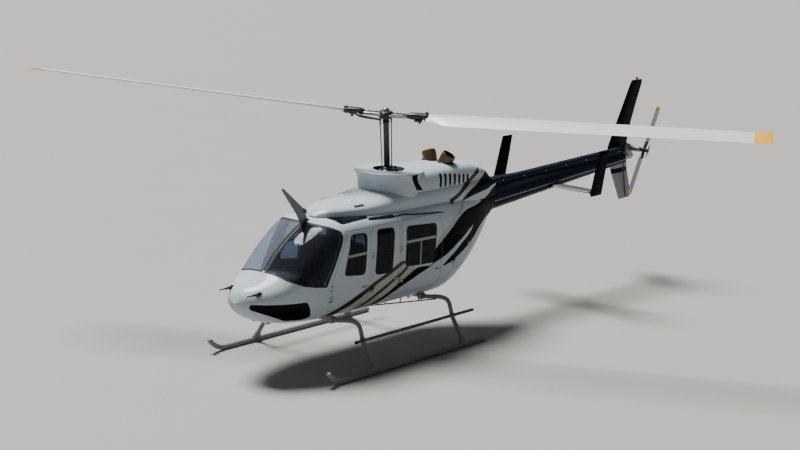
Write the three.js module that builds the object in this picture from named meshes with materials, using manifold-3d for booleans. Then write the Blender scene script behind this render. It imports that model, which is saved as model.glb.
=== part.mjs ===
// A light single-engine helicopter with a stretched cabin, a two-blade main rotor and high skids.
// Millimetres. +X is forward, +Y is port (the pilot's left hand), +Z is up. The skids stand on Z = 0.
// Places along X are first given from the foot of the rotor mast; the whole model is then moved
// forward by mastX, which puts the origin under the middle of its bounding box.
import * as THREE from "three";
import { mergeVertices } from "three/addons/utils/BufferGeometryUtils.js";
import Module from "manifold-3d";

const wasm = await Module();
wasm.setup();

// Driving dimensions
const pitotTip = 3250; // foremost point, forward of the mast
const pitotSeat = { y: 265, z: 1250 };
const noseTip = 3185;
const finTip = -7130; // rearmost point
const mastX = -(pitotTip + finTip) / 2;
const clearance = 6; // between a door and its frame
const seam = 0.4; // between two pieces that touch
const doorThick = 45; // door, wall and roof thickness
const glassThick = 12;
const far = 9000; // reach of a cutting block

// Cabin
const floorTop = 900;
const floorFront = 2150;
const sillTop = 1262; // top of the nose at the foot of the windscreen pillars
const pillarFoot = 2040;
const postFoot = 2640;
const roofSplit = 2030;
const bulkheadFront = -720;
const bulkheadBack = -762;
const noseBack = 1934;
const postHalf = 30; // half width of the windscreen's centre post
const deck = 2130; // top of the cabin, under the cowlings
const hullEnd = -2400; // where the tail boom starts

// Main rotor
const rotorRadius = 5640;
const bladeChord = 330;
const bladeRoot = 620;
const mastTilt = 5;
const hubHeight = 1320; // along the mast, above the deck
const rotorAzimuth = 118; // of the first blade, from the nose round to port
const teeter = 3.825; // the first blade's tip is down by this much
const precone = 2.175;
const rootPitch = 18;
const tipPitch = 15;

// Tail
const boomRoot = { x: hullEnd - seam, z: 1855, radius: 213 };
const boomTip = { x: -6380, z: 2066, radius: 102 };
const boomWall = 15;
const tailRotor = { x: -6550, y: 360, z: 2230, radius: 825, chord: 135, lean: 27 };
const stabilizer = { lead: -3990, z: 1880, chord: 330, thick: 44, half: 975 };

// Landing gear
const skidY = 1170;
const skidRadius = 40;
const tubeRadius = 33;
const stepRadius = 22;
const crosstubes = { front: 1560, rear: -490 };

// Materials: colour, roughness, metalness
const paint = (color, roughness = 0.3, metalness = 0) =>
  new THREE.MeshStandardMaterial({ color, roughness, metalness });
const white = paint(0xf2f3f5, 0.25);
const navy = paint(0x14181f, 0.22);
const glass = new THREE.MeshStandardMaterial({
  color: 0x2b3640,
  roughness: 0.05,
  metalness: 0,
  transparent: true,
  opacity: 0.4,
});
const lightGrey = paint(0xb9bec2, 0.4);
const darkGrey = paint(0x2a2c2f, 0.5);
const black = paint(0x0c0d0f, 0.4);
const leather = paint(0x4a4038, 0.6);
const steel = paint(0x8d8f91, 0.35, 1);
const burntSteel = paint(0x5b4033, 0.5, 0.9);
const castMetal = paint(0x8a8c8e, 0.5, 0.8);
const bladeWhite = paint(0xf4f4f0, 0.35);

// Solids

function solidOf(geometry) {
  const bare = geometry.index ? geometry.toNonIndexed() : geometry.clone();
  bare.deleteAttribute("normal");
  bare.deleteAttribute("uv");
  const merged = mergeVertices(bare, 1e-3);
  return new wasm.Manifold(
    new wasm.Mesh({
      numProp: 3,
      vertProperties: merged.attributes.position.array,
      triVerts: new Uint32Array(merged.index.array),
    }),
  );
}

function geometryOf(solid) {
  const mesh = solid.getMesh();
  const vertices = new Float32Array(mesh.numVert * 3);
  for (let i = 0; i < mesh.numVert; i++) {
    vertices.set(mesh.vertProperties.subarray(i * mesh.numProp, i * mesh.numProp + 3), i * 3);
  }
  const geometry = new THREE.BufferGeometry();
  geometry.setAttribute("position", new THREE.BufferAttribute(vertices, 3));
  geometry.setIndex(new THREE.BufferAttribute(new Uint32Array(mesh.triVerts), 1));
  geometry.computeVertexNormals();
  return geometry;
}

function piece(name, solid, material) {
  const mesh = new THREE.Mesh(geometryOf(solid), material);
  mesh.name = name;
  return mesh;
}

// A closed skin through rings of points, each ring with as many points as the others.
function loft(rings) {
  const count = rings[0].length;
  const points = rings.flat();
  const faces = [];
  for (let r = 0; r < rings.length - 1; r++) {
    for (let i = 0; i < count; i++) {
      const a = r * count + i;
      const b = r * count + ((i + 1) % count);
      faces.push(a, b, a + count, b, b + count, a + count);
    }
  }
  for (const [ring, first] of [[rings[0], 0], [rings.at(-1), (rings.length - 1) * count]]) {
    const middle = ring.reduce((sum, p) => sum.add(p), new THREE.Vector3()).divideScalar(count);
    points.push(middle);
    for (let i = 0; i < count; i++) {
      const a = first + i;
      const b = first + ((i + 1) % count);
      faces.push(...(first === 0 ? [b, a] : [a, b]), points.length - 1);
    }
  }
  let volume = 0;
  for (let i = 0; i < faces.length; i += 3) {
    const [a, b, c] = [points[faces[i]], points[faces[i + 1]], points[faces[i + 2]]];
    volume += a.dot(new THREE.Vector3().crossVectors(b, c));
  }
  if (volume < 0) {
    faces.reverse();
  }
  const geometry = new THREE.BufferGeometry().setFromPoints(points);
  geometry.setIndex(faces);
  return solidOf(geometry);
}

function box(x, y, z) {
  const geometry = new THREE.BoxGeometry(x[1] - x[0], y[1] - y[0], z[1] - z[0]);
  geometry.translate((x[0] + x[1]) / 2, (y[0] + y[1]) / 2, (z[0] + z[1]) / 2);
  return solidOf(geometry);
}

function upright(radius, [x, y], [low, high], sides = 32, topRadius = radius) {
  const geometry = new THREE.CylinderGeometry(topRadius, radius, high - low, sides);
  geometry.rotateX(Math.PI / 2);
  geometry.translate(x, y, (low + high) / 2);
  return solidOf(geometry);
}

function crosswise(radius, [x, z], [start, end], sides = 24, endRadius = radius) {
  const geometry = new THREE.CylinderGeometry(endRadius, radius, end - start, sides);
  geometry.translate(x, (start + end) / 2, z);
  return solidOf(geometry);
}

function lengthwise(radius, [y, z], [back, front], sides = 24, frontRadius = radius) {
  const geometry = new THREE.CylinderGeometry(frontRadius, radius, front - back, sides);
  geometry.rotateZ(-Math.PI / 2);
  geometry.translate((back + front) / 2, y, z);
  return solidOf(geometry);
}

// A prism across the aircraft, from an outline of [x, z] points seen from the side.
function sidePrism(outline, [low, high]) {
  const shape = outline instanceof THREE.Shape ? outline : shapeOf(outline);
  const geometry = new THREE.ExtrudeGeometry(shape, {
    depth: high - low,
    bevelEnabled: false,
    curveSegments: 3,
  });
  geometry.rotateX(Math.PI / 2);
  geometry.translate(0, high, 0);
  return solidOf(geometry);
}

function shapeOf(outline) {
  return new THREE.Shape(outline.map(([x, z]) => new THREE.Vector2(x, z)));
}

// The outline with each corner rounded.
function rounded(outline, radius) {
  const corners = outline.map(([x, z]) => new THREE.Vector2(x, z));
  const shape = new THREE.Shape();
  corners.forEach((corner, i) => {
    const before = corners.at(i - 1);
    const after = corners[(i + 1) % corners.length];
    const from = corner.clone().add(before.clone().sub(corner).setLength(radius));
    const to = corner.clone().add(after.clone().sub(corner).setLength(radius));
    if (i === 0) {
      shape.moveTo(from.x, from.y);
    } else {
      shape.lineTo(from.x, from.y);
    }
    shape.quadraticCurveTo(corner.x, corner.y, to.x, to.y);
  });
  return shape;
}

// The convex outline with each side moved inwards.
function inset(outline, distance) {
  const area = outline.reduce((sum, [x, z], i) => {
    const [nx, nz] = outline[(i + 1) % outline.length];
    return sum + x * nz - nx * z;
  }, 0);
  const turn = Math.sign(area);
  const sides = outline.map(([x, z], i) => {
    const [nx, nz] = outline[(i + 1) % outline.length];
    const length = Math.hypot(nx - x, nz - z);
    const inward = [(-(nz - z) / length) * turn, ((nx - x) / length) * turn];
    return { x: x + inward[0] * distance, z: z + inward[1] * distance, dx: nx - x, dz: nz - z };
  });
  return sides.map((side, i) => {
    const last = sides.at(i - 1);
    const cross = last.dx * side.dz - last.dz * side.dx;
    const along = ((side.x - last.x) * side.dz - (side.z - last.z) * side.dx) / cross;
    return [last.x + last.dx * along, last.z + last.dz * along];
  });
}

function tube(points, radius, steps, sides = 10) {
  return pipe(new THREE.CatmullRomCurve3(points.map((p) => new THREE.Vector3(...p)), false, "centripetal"),
    radius, steps, sides);
}

function pipe(curve, radius, steps, sides) {
  const circle = Array.from({ length: sides }, (_, i) => {
    const angle = (2 * Math.PI * (i + 0.5)) / sides;
    return new THREE.Vector2(radius * Math.cos(angle), radius * Math.sin(angle));
  });
  const geometry = new THREE.ExtrudeGeometry(new THREE.Shape(circle), {
    steps,
    bevelEnabled: false,
    extrudePath: curve,
  });
  return solidOf(geometry);
}

// A symmetrical aerofoil outline: [back from the leading edge, out from the chord line].
function foil(chord, thick, half = 7) {
  const spread = Array.from({ length: half + 1 }, (_, i) => (1 - Math.cos((Math.PI * i) / half)) / 2);
  const depth = (u) =>
    5 * thick * (0.2969 * Math.sqrt(u) - 0.126 * u - 0.3516 * u ** 2 + 0.2843 * u ** 3 - 0.1036 * u ** 4);
  const upper = spread.map((u) => [u * chord, depth(u)]);
  const lower = spread.slice(1, -1).reverse().map((u) => [u * chord, -depth(u)]);
  return [...upper, ...lower];
}

// The fuselage

// x from the mast, bottom, top, height of the widest point, half width, upper and lower squareness
const hullTable = [
  [noseTip, 1060, 1130, 1095, 60, 2.0, 2.0],
  [3150, 985, 1205, 1100, 170, 2.1, 2.1],
  [3040, 890, 1290, 1115, 315, 2.2, 2.2],
  [2850, 800, 1370, 1140, 450, 2.4, 2.4],
  [2640, 745, 1475, 1180, 540, 2.6, 2.6],
  [2420, 712, 1690, 1230, 595, 2.9, 2.8],
  [2200, 695, 1868, 1290, 630, 3.2, 3.0],
  [2000, 685, 1995, 1350, 646, 3.6, 3.2],
  [1850, 680, 2068, 1390, 654, 4.0, 3.3],
  [1680, 676, 2108, 1410, 658, 4.5, 3.4],
  [1100, 672, 2128, 1420, 660, 4.8, 3.4],
  [-300, 670, 2130, 1420, 660, 4.8, 3.4],
  [-720, 678, 2130, 1420, 650, 4.6, 3.4],
  [-1000, 735, 2130, 1425, 620, 4.3, 3.2],
  [-1300, 875, 2130, 1455, 562, 4.0, 3.0],
  [-1600, 1060, 2132, 1530, 486, 3.6, 2.8],
  [-1900, 1290, 2140, 1640, 395, 3.1, 2.5],
  [-2150, 1500, 2125, 1760, 305, 2.6, 2.3],
  [hullEnd, 1628, 2085, 1850, 226, 2.1, 2.1],
];

// The hull's measures at any place, on a smooth curve through the table.
function hullAt(x) {
  const last = hullTable.length - 2;
  const found = hullTable.findIndex((row, i) => i <= last && x >= hullTable[i + 1][0]);
  const i = found < 0 ? last : found;
  const row = (k) => hullTable[Math.min(Math.max(k, 0), last + 1)];
  const [r0, r1, r2, r3] = [row(i - 1), row(i), row(i + 1), row(i + 2)];
  const step = r2[0] - r1[0];
  const u = (x - r1[0]) / step;
  const slope = (a, b, c) => (a[0] === b[0] ? (n) => (c[n] - b[n]) / (c[0] - b[0])
    : b[0] === c[0] ? (n) => (b[n] - a[n]) / (b[0] - a[0])
      : (n) => (c[n] - a[n]) / (c[0] - a[0]));
  const startSlope = slope(r0, r1, r2);
  const endSlope = slope(r1, r2, r3);
  return r1.map((value, n) =>
    (2 * u ** 3 - 3 * u ** 2 + 1) * value + (u ** 3 - 2 * u ** 2 + u) * step * startSlope(n)
    + (-2 * u ** 3 + 3 * u ** 2) * r2[n] + (u ** 3 - u ** 2) * step * endSlope(n));
}

function hullRing(x, inward) {
  const points = inward > glassThick ? 18 : 26;
  const [, bottom, top, waist, half, upper, lower] = hullAt(x);
  return Array.from({ length: points }, (_, i) => {
    const angle = (2 * Math.PI * (i + 0.5)) / points;
    const [c, s] = [Math.cos(angle), Math.sin(angle)];
    const power = 2 / (s > 0 ? upper : lower);
    const reach = s > 0 ? top - inward - waist : waist - bottom - inward;
    return new THREE.Vector3(
      x,
      Math.sign(c) * (half - inward) * Math.abs(c) ** power,
      waist + Math.sign(s) * reach * Math.abs(s) ** power,
    );
  });
}

function hullSolid(inward, front = noseTip, back = hullEnd) {
  const places = hullTable.map(([x]) => x).filter((x) => x < front && x > back);
  return loft([front, ...places, back].map((x) => hullRing(x, inward)));
}

const hull = hullSolid(0);
const lining = hullSolid(doorThick, 3120, hullEnd + 60);
const glassInside = hullSolid(glassThick, 3070, -1000);
const deepLining = hullSolid(doorThick + clearance, 3100, hullEnd + 60);
const cavity = lining.subtract(box([-far, bulkheadFront], [-far, far], [-far, far]));
const shell = hull.subtract(cavity);
const above = (z) => box([-far, far], [-far, far], [z, far]);
const below = (z) => box([-far, far], [-far, far], [-far, z]);
const ahead = (x) => box([x, far], [-far, far], [-far, far]);
const behind = (x) => box([-far, x], [-far, far], [-far, far]);
const hullRaised = hull.translate([0, 0, seam]);
const hullGrown = hullSolid(-seam);

// Door and window outlines, seen from the side: [x, z]
const crewDoorway = [[1925, 860], [1925, 1300], [1610, 1985], [1120, 1985], [1120, 860]];
const litterDoorway = [[1060, 860], [1060, 1985], [470, 1985], [470, 860]];
const passengerDoorway = [[420, 860], [420, 1985], [-460, 1985], [-540, 1780], [-540, 950], [-450, 860]];
const baggageDoorway = [[-860, 1060], [-860, 1620], [-1420, 1620], [-1420, 1180], [-1300, 1060]];
const crewWindow = [[1680, 1365], [1530, 1925], [1205, 1908], [1240, 1318]];
const litterWindow = [[1005, 1275], [970, 1925], [600, 1905], [635, 1255]];
const passengerWindow = [[325, 1290], [312, 1880], [-380, 1835], [-350, 1250]];
const windscreen = [[2680, 1500], [2635, 1417], [2450, 1335], [2250, 1293], [pillarFoot, sillTop], [1970, 1400],
  [1885, 1560], [1750, 1825], [1705, 1925], [1712, 1990], [1800, 2045], [1915, 2075], [2300, 2300], [2900, 2000]];
const chinWindow = [[3090, 1087], [2380, 1060], [2235, 835], [2330, 800], [2620, 825], [3085, 1000]];
const roofWindow = { x: [1010, 1600], y: [200, 500] };

const sides = { left: 1, right: -1 };
const flank = (side) => (side > 0 ? [100, far] : [-far, -100]);

// Hinges: a knuckle on the door turns between two lugs on the frame, on an upright axis.
const hingeRadius = 8;
const knuckleHeight = 40;
const lugHeight = 26;

const armReach = 42;
const ordered = (a, b) => [Math.min(a, b), Math.max(a, b)];

function knuckle(axisX, axisY, z, side) {
  const height = [z - knuckleHeight / 2, z + knuckleHeight / 2];
  const outer = axisY + side * hingeRadius / 2;
  const rooted = box([axisX - armReach, axisX - clearance], ordered(axisY - side * armReach, outer), height);
  const strap = box([axisX - clearance - 1, axisX], ordered(axisY - side * hingeRadius / 2, outer), height);
  return upright(hingeRadius, [axisX, axisY], height, 16).add(rooted).add(strap);
}

function lugs(axisX, axisY, z, side) {
  const outer = axisY + side * hingeRadius / 2;
  return [-1, 1].map((end) => {
    const near = z + end * (knuckleHeight / 2 + seam);
    const span = ordered(near, near + end * lugHeight);
    const arm = box([axisX + 1, axisX + armReach], ordered(axisY - side * armReach, outer), span);
    return upright(hingeRadius, [axisX, axisY], span, 16).add(arm);
  }).reduce((a, b) => a.add(b));
}

// name, doorway, window or null, hinge x, hinge distance out, hinge heights, sides, frame piece
const doorTable = [
  ["crew_door", crewDoorway, crewWindow, 1925, 661, [1040, 1205], ["left", "right"], "nose"],
  ["litter_door", litterDoorway, litterWindow, 1060, 674, [1060, 1560], ["left"], "frame"],
  ["passenger_door", passengerDoorway, passengerWindow, 420, 674, [1060, 1560], ["left", "right"], "frame"],
  ["baggage_door", baggageDoorway, null, -860, 652, [1180, 1480], ["left"], "aft"],
];

function doorPanel([, doorway, window, hingeX, hingeY, heights], side) {
  const thickness = hull.subtract(lining);
  let panel = thickness.intersect(sidePrism(inset(doorway, clearance), flank(side)));
  if (window) {
    panel = panel.subtract(sidePrism(rounded(window, 70), flank(side)));
  }
  for (const z of heights) {
    panel = panel.add(knuckle(hingeX, side * hingeY, z, side));
  }
  return panel.subtract(lining);
}

function lugsFor(frame) {
  return doorTable.filter((row) => row[7] === frame).flatMap(([, , , hingeX, hingeY, heights, where]) =>
    where.flatMap((name) => heights.map((z) => lugs(hingeX, sides[name] * hingeY, z, sides[name]))));
}

function cabinPieces() {
  const bothFlanks = [-far, far];
  const doorways = [
    sidePrism(crewDoorway, bothFlanks),
    sidePrism(passengerDoorway, bothFlanks),
    sidePrism(litterDoorway, flank(1)),
    sidePrism(rounded(litterWindow, 70), flank(-1)),
  ];
  const postStrip = box([1500, postFoot], [-postHalf, postHalf], [sillTop, far]);
  const postSlot = box([1500, postFoot + seam], [-postHalf - seam, postHalf + seam], [sillTop, far]);
  const screenHole = sidePrism(windscreen, bothFlanks).subtract(postStrip);

  const floor = hull.intersect(below(floorTop))
    .intersect(box([bulkheadFront + seam, floorFront], [-far, far], [0, far]))
    .subtract(doorways.slice(0, 3).reduce((a, b) => a.add(b)).subtract(deepLining));
  const floorSpace = box([-far, floorFront + seam], [-far, far], [-far, floorTop + seam]);

  const noseSpace = below(sillTop).intersect(ahead(noseBack)).add(ahead(pillarFoot));
  let nose = shell.intersect(noseSpace).subtract(floorSpace).subtract(sidePrism(windscreen, bothFlanks)).subtract(postSlot);
  for (const side of [1, -1]) {
    nose = nose.subtract(sidePrism(rounded(chinWindow, 40), side > 0 ? [70, far] : [-far, -70]));
  }
  nose = lugsFor("nose").reduce((solid, lug) => solid.add(lug.subtract(cavity)), nose);

  const aboveFloor = shell.subtract(floorSpace);
  let roof = aboveFloor.subtract(behind(bulkheadBack)).intersect(above(roofSplit).add(postStrip));
  roof = roof.subtract(screenHole).subtract(box([-far, 1500], [-far, far], [-far, roofSplit]));
  for (const side of [1, -1]) {
    roof = roof.subtract(box(roofWindow.x, ordered(side * roofWindow.y[0], side * roofWindow.y[1]), [1900, far]));
  }

  let frame = aboveFloor.subtract(behind(bulkheadBack)).intersect(below(roofSplit - seam));
  frame = frame.subtract(box([noseBack - 34, far], [-far, far], [-far, sillTop + seam])).subtract(ahead(pillarFoot - seam));
  frame = frame.subtract(sidePrism(windscreen, bothFlanks)).subtract(postSlot);
  frame = doorways.reduce((solid, doorway) => solid.subtract(doorway), frame);
  frame = lugsFor("frame").reduce((solid, lug) => solid.add(lug.subtract(cavity)), frame);

  const pieces = [
    piece("nose_shell", nose, white),
    piece("cabin_frame", frame, white),
    piece("cabin_roof", roof, white),
    piece("cabin_floor", floor, white),
  ];
  const pane = hull.subtract(glassInside).intersect(sidePrism(inset(windscreen, seam), bothFlanks));
  for (const [name, side] of Object.entries(sides)) {
    const half = box([0, far], side > 0 ? [postHalf + seam, far] : [-far, -postHalf - seam], [0, far]);
    pieces.push(piece("windscreen_" + name, pane.intersect(half), glass));
  }
  return pieces;
}

function aftFuselage() {
  const bay = lining.intersect(box([-1470, -830], [-380, far], [1030, 1650]));
  const bayWalls = box([-1500, -800], [-410, far], [1000, 1680]);
  const tailSpace = hullSolid(doorThick, bulkheadFront, hullEnd - 10).subtract(bayWalls);
  let aft = hull.intersect(behind(bulkheadBack - seam)).subtract(bay).subtract(tailSpace);
  aft = aft.subtract(sidePrism(baggageDoorway, flank(1)).subtract(deepLining));
  aft = lugsFor("aft").reduce((solid, lug) => solid.add(lug.subtract(bay)), aft);
  return piece("aft_fuselage", aft, white);
}

// Cabin fittings

function seat([front, back], [inner, outer], panTop, backTop, side) {
  const width = side === 0 ? [inner, outer] : [side * inner, side * outer].sort((a, b) => a - b);
  const facing = Math.sign(front - back);
  const rest = [back, back + facing * 120].sort((a, b) => a - b);
  const pan = [front, back].sort((a, b) => a - b);
  return box(pan, width, [floorTop + seam, panTop]).add(box(rest, width, [floorTop + seam, backTop]));
}

function fittings() {
  const panel = box([2190, 2370], [-340, 340], [1010, 1400]);
  const pedestal = box([1950, 2200], [-90, 90], [floorTop + seam, 1120]);
  const underPanel = box([2190, 2300], [-90, 90], [floorTop + seam + 60, 1100]);
  return [
    piece("instrument_panel", panel.add(pedestal).add(underPanel).subtract(box([2149, 2152], [-far, far], [-far, 902])), black),
    piece("crew_seat_left", seat([1740, 1240], [110, 520], 1200, 1760, 1), leather),
    piece("crew_seat_right", seat([1740, 1240], [110, 520], 1200, 1760, -1), leather),
    piece("middle_seats", seat([640, 1140], [-515, 515], 1200, 1740, 0), leather),
    piece("rear_bench", seat([-180, bulkheadFront + seam], [-515, 515], 1200, 1740, 0), leather),
  ];
}

// Cowlings

// x from the mast, top, half width
const lowerCowlTable = [
  [1690, 2135, 60],
  [1620, 2185, 160],
  [1500, 2238, 250],
  [1340, 2262, 330],
  [1000, 2282, 430],
  [600, 2325, 480],
  [300, 2380, 495],
  [-900, 2385, 490],
  [-1500, 2372, 440],
  [-2000, 2300, 345],
  [-2400, 2165, 225],
];
const upperCowlTable = [
  [150, 2596, 430],
  [-300, 2600, 440],
  [-900, 2600, 430],
  [-1400, 2590, 400],
  [-1800, 2520, 330],
  [-2150, 2390, 225],
  [-2400, 2220, 130],
];
const cowlFoot = 1950;
const discTop = 2620;
const discRadius = 530;
const mastHoleRadius = 245;
const cowlSplit = { engine: -540, aft: -1560 };
const cowlThick = 25;
const stack = { x: -1160, y: 145, radius: 112, wall: 8, top: 2730, splay: 62 };

function cowlRing([x, top, half], squareness) {
  const points = 14;
  const shoulder = Math.min(deck + 20, top - 20);
  const arch = Array.from({ length: points + 1 }, (_, i) => {
    const angle = (Math.PI * i) / points;
    const [c, s] = [Math.cos(angle), Math.sin(angle)];
    return new THREE.Vector3(
      x,
      Math.sign(c) * half * Math.abs(c) ** (2 / squareness),
      shoulder + (top - shoulder) * s ** (2 / squareness),
    );
  });
  return [new THREE.Vector3(x, half, cowlFoot), ...arch, new THREE.Vector3(x, -half, cowlFoot)];
}

function cowlings() {
  const thinner = ([x, top, half]) => [x, top - cowlThick, half - cowlThick];
  const lower = loft(lowerCowlTable.map((row) => cowlRing(row, 2.6))).subtract(hullRaised);
  const lowerInside = loft(lowerCowlTable.slice(1, -1).map((row) => cowlRing(thinner(row), 2.6)));
  const upper = loft(upperCowlTable.map((row) => cowlRing(row, 4.4)));
  const upperInside = loft(upperCowlTable.slice(0, -1).map((row) => cowlRing(thinner(row), 4.4)));
  const collarProfile = [[0, 2150], [475, 2150], [468, 2480], [490, 2560], [discRadius, 2590],
    [discRadius, discTop - 8], [discRadius - 12, discTop], [0, discTop]];
  const collarShape = new THREE.LatheGeometry(collarProfile.map((p) => new THREE.Vector2(...p)), 26);
  collarShape.rotateX(Math.PI / 2);
  const collar = solidOf(collarShape);

  const lowerRaised = lower.translate([0, 0, seam]);
  const boomFront = ahead(hullEnd - seam);
  const gearSpace = upright(400, [0, 0], [cowlFoot, 2555], 18);
  const engineSpace = box([cowlSplit.aft + 60, cowlSplit.engine - 40], [-330, 330], [cowlFoot, 2520]);
  const shaftHole = upright(mastHoleRadius, [0, 0], [2500, far], 20);
  const intakes = sidePrism([[-300, 2350], [-200, 2330], [-100, 2600], [-190, 2600]], [-far, far])
    .subtract(box([-far, far], [-370, 370], [-far, far]));
  const stackHoles = [1, -1].map((side) => upright(134, [stack.x - 10, side * stack.y], [2400, far], 14));

  let transmission = collar.add(upper.intersect(ahead(cowlSplit.engine))).subtract(lowerRaised);
  transmission = transmission.subtract(gearSpace).subtract(shaftHole).subtract(intakes).subtract(upperInside);
  transmission = transmission.intersect(above(2200));
  let engine = upper.intersect(behind(cowlSplit.engine - seam)).intersect(ahead(cowlSplit.aft));
  engine = engine.subtract(lowerRaised).subtract(upperInside);
  engine = stackHoles.reduce((solid, hole) => solid.subtract(hole), engine).intersect(above(2250));
  const base = lower.intersect(ahead(cowlSplit.aft)).subtract(lowerInside).subtract(gearSpace).subtract(engineSpace);
  const aft = lower.add(upper).intersect(behind(cowlSplit.aft - seam)).intersect(boomFront)
    .subtract(hullRaised).subtract(lowerInside.add(upperInside));
  return [
    piece("lower_cowling", base, white),
    piece("transmission_cowling", transmission, white),
    piece("engine_cowling", engine, white),
    piece("aft_fairing", aft, white),
  ];
}

function powerplant() {
  const engine = box([-1440, -600], [-230, 230], [2100, 2400]).subtract(hullRaised);
  const gearcase = upright(230, [0, 0], [2100, 2420], 24, 190).subtract(hullRaised);
  const stacks = [1, -1].map((side) => {
    const bend = [[stack.x, side * stack.y, 2540], [stack.x - 12, side * (stack.y + 16), 2640]];
    const mouth = [stack.x - 30, side * (stack.y + stack.splay), stack.top];
    const beyond = [mouth[0] - 2, mouth[1] + side * 5, mouth[2] + 9];
    const outer = tube([[stack.x + 10, side * (stack.y - 8), 2380], ...bend, mouth], stack.radius, 8, 14);
    const bore = tube([[stack.x + 9, side * (stack.y - 7), 2410], ...bend, beyond], stack.radius - stack.wall, 8, 14);
    return outer.subtract(bore).intersect(above(2400 + seam));
  });
  return [
    piece("engine", engine, castMetal),
    piece("transmission", gearcase, castMetal),
    piece("exhaust_left", stacks[0], burntSteel),
    piece("exhaust_right", stacks[1], burntSteel),
  ];
}

// The tail

function boomSolid(grow, front, back) {
  const along = (x) => (x - boomRoot.x) / (boomTip.x - boomRoot.x);
  const ring = (x) => {
    const radius = boomRoot.radius + (boomTip.radius - boomRoot.radius) * along(x) + grow;
    const z = boomRoot.z + (boomTip.z - boomRoot.z) * along(x);
    return Array.from({ length: 24 }, (_, i) => {
      const angle = (2 * Math.PI * (i + 0.5)) / 24;
      return new THREE.Vector3(x, radius * Math.cos(angle), z + radius * Math.sin(angle));
    });
  };
  return loft([ring(front), ring((front + back) / 2), ring(back)]);
}

function coverRing(x, low, top, half) {
  return [[-half, low], [-half, top - 40], [-half + 25, top - 8], [-half + 45, top],
    [half - 45, top], [half - 25, top - 8], [half, top - 40], [half, low]]
    .map(([y, z]) => new THREE.Vector3(x, y, z));
}

// x, height and lead and trail edge of the fin: height, leading edge, trailing edge, thickness
const finTable = [
  [1270, -6590, -6930, 22],
  [1330, -6560, -6985, 34],
  [1800, -6290, -6800, 62],
  [2250, -6140, -6735, 70],
  [2680, -6380, -6850, 56],
  [3340, -6755, finTip, 36],
  [3390, -6800, -7115, 22],
];
const finY = -134.8;
const plateTable = [
  [1820, -3990, -4300, 18],
  [1870, -3970, -4315, 24],
  [2250, -4085, -4400, 24],
  [2545, -4175, -4455, 18],
];

function uprightFoil(table, y) {
  return loft(table.map(([z, lead, trail, thick]) =>
    foil(lead - trail, thick).map(([back, out]) => new THREE.Vector3(lead - back, y + out, z))));
}

function tailPieces() {
  const wing = foil(stabilizer.chord, stabilizer.thick / stabilizer.chord * stabilizer.chord);
  const wingOutline = wing.map(([back, out]) => [stabilizer.lead - back, stabilizer.z - out]);
  const slot = inset(wingOutline, -seam);
  const outer = boomSolid(0, boomRoot.x, boomTip.x);
  const inner = boomSolid(-boomWall, boomRoot.x + 1, boomTip.x + 60);
  const boom = outer.subtract(inner).subtract(sidePrism(slot, [-far, far]));
  const boomGrown = boomSolid(seam, boomRoot.x + 1, boomTip.x - 1);
  const cover = loft([
    coverRing(boomRoot.x, 1950, 2178, 95),
    coverRing(-3300, 2000, 2168, 70),
    coverRing(-6330, 2050, 2262, 62),
  ]).subtract(boomGrown);
  const gearbox = lengthwise(66, [0, boomTip.z + 16], [-6700, boomTip.x - seam], 14, 94)
    .add(upright(95, [tailRotor.x, 0], [2100, tailRotor.z + 70], 12, 60))
    .add(crosswise(58, [tailRotor.x, tailRotor.z], [-60, 290], 12, 40));
  const fin = uprightFoil(finTable, finY).subtract(boomGrown)
    .subtract(lengthwise(70, [0, boomTip.z + 16], [-6720, boomTip.x + 1], 20, 99));
  const pieces = [
    piece("tail_boom", boom, navy),
    piece("driveshaft_cover", cover, navy),
    piece("tail_gearbox", gearbox, darkGrey),
    piece("tail_fin", fin, black),
    piece("stabilizer", sidePrism(wingOutline, [-stabilizer.half, stabilizer.half]), lightGrey),
  ];
  for (const [name, side] of Object.entries(sides)) {
    const plate = uprightFoil(plateTable, side * (stabilizer.half + 12 + seam));
    pieces.push(piece("end_plate_" + name, plate, black));
  }
  return pieces;
}

// Landing gear

// out from the middle, height: one half of a crosstube
const legPath = [[300, 634], [460, 648], [600, 676], [720, 688], [800, 680], [850, 652], [885, 590], [915, 500],
  [950, 415], [1005, 330], [1065, 245], [1122, 150], [skidY, 50]];
const tubeSides = 8;
const skidHeight = skidRadius * Math.cos(Math.PI / tubeSides); // from the flat under the skid to its middle
const footTop = skidHeight * 2 + seam;
const stepSeat = { y: 970, z: 460 };

function crosstube(x) {
  const points = [
    ...[...legPath].reverse().map(([y, z]) => [x, -y, z]),
    [x, 0, 632],
    ...legPath.map(([y, z]) => [x, y, z]),
  ];
  const saddles = [1, -1].map((side) => box([x - 45, x + 45], ordered(side * 300, side * 370), [600, 760]));
  return tube(points, tubeRadius, 48, tubeSides).intersect(above(footTop)).add(saddles[0]).add(saddles[1]);
}

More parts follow.
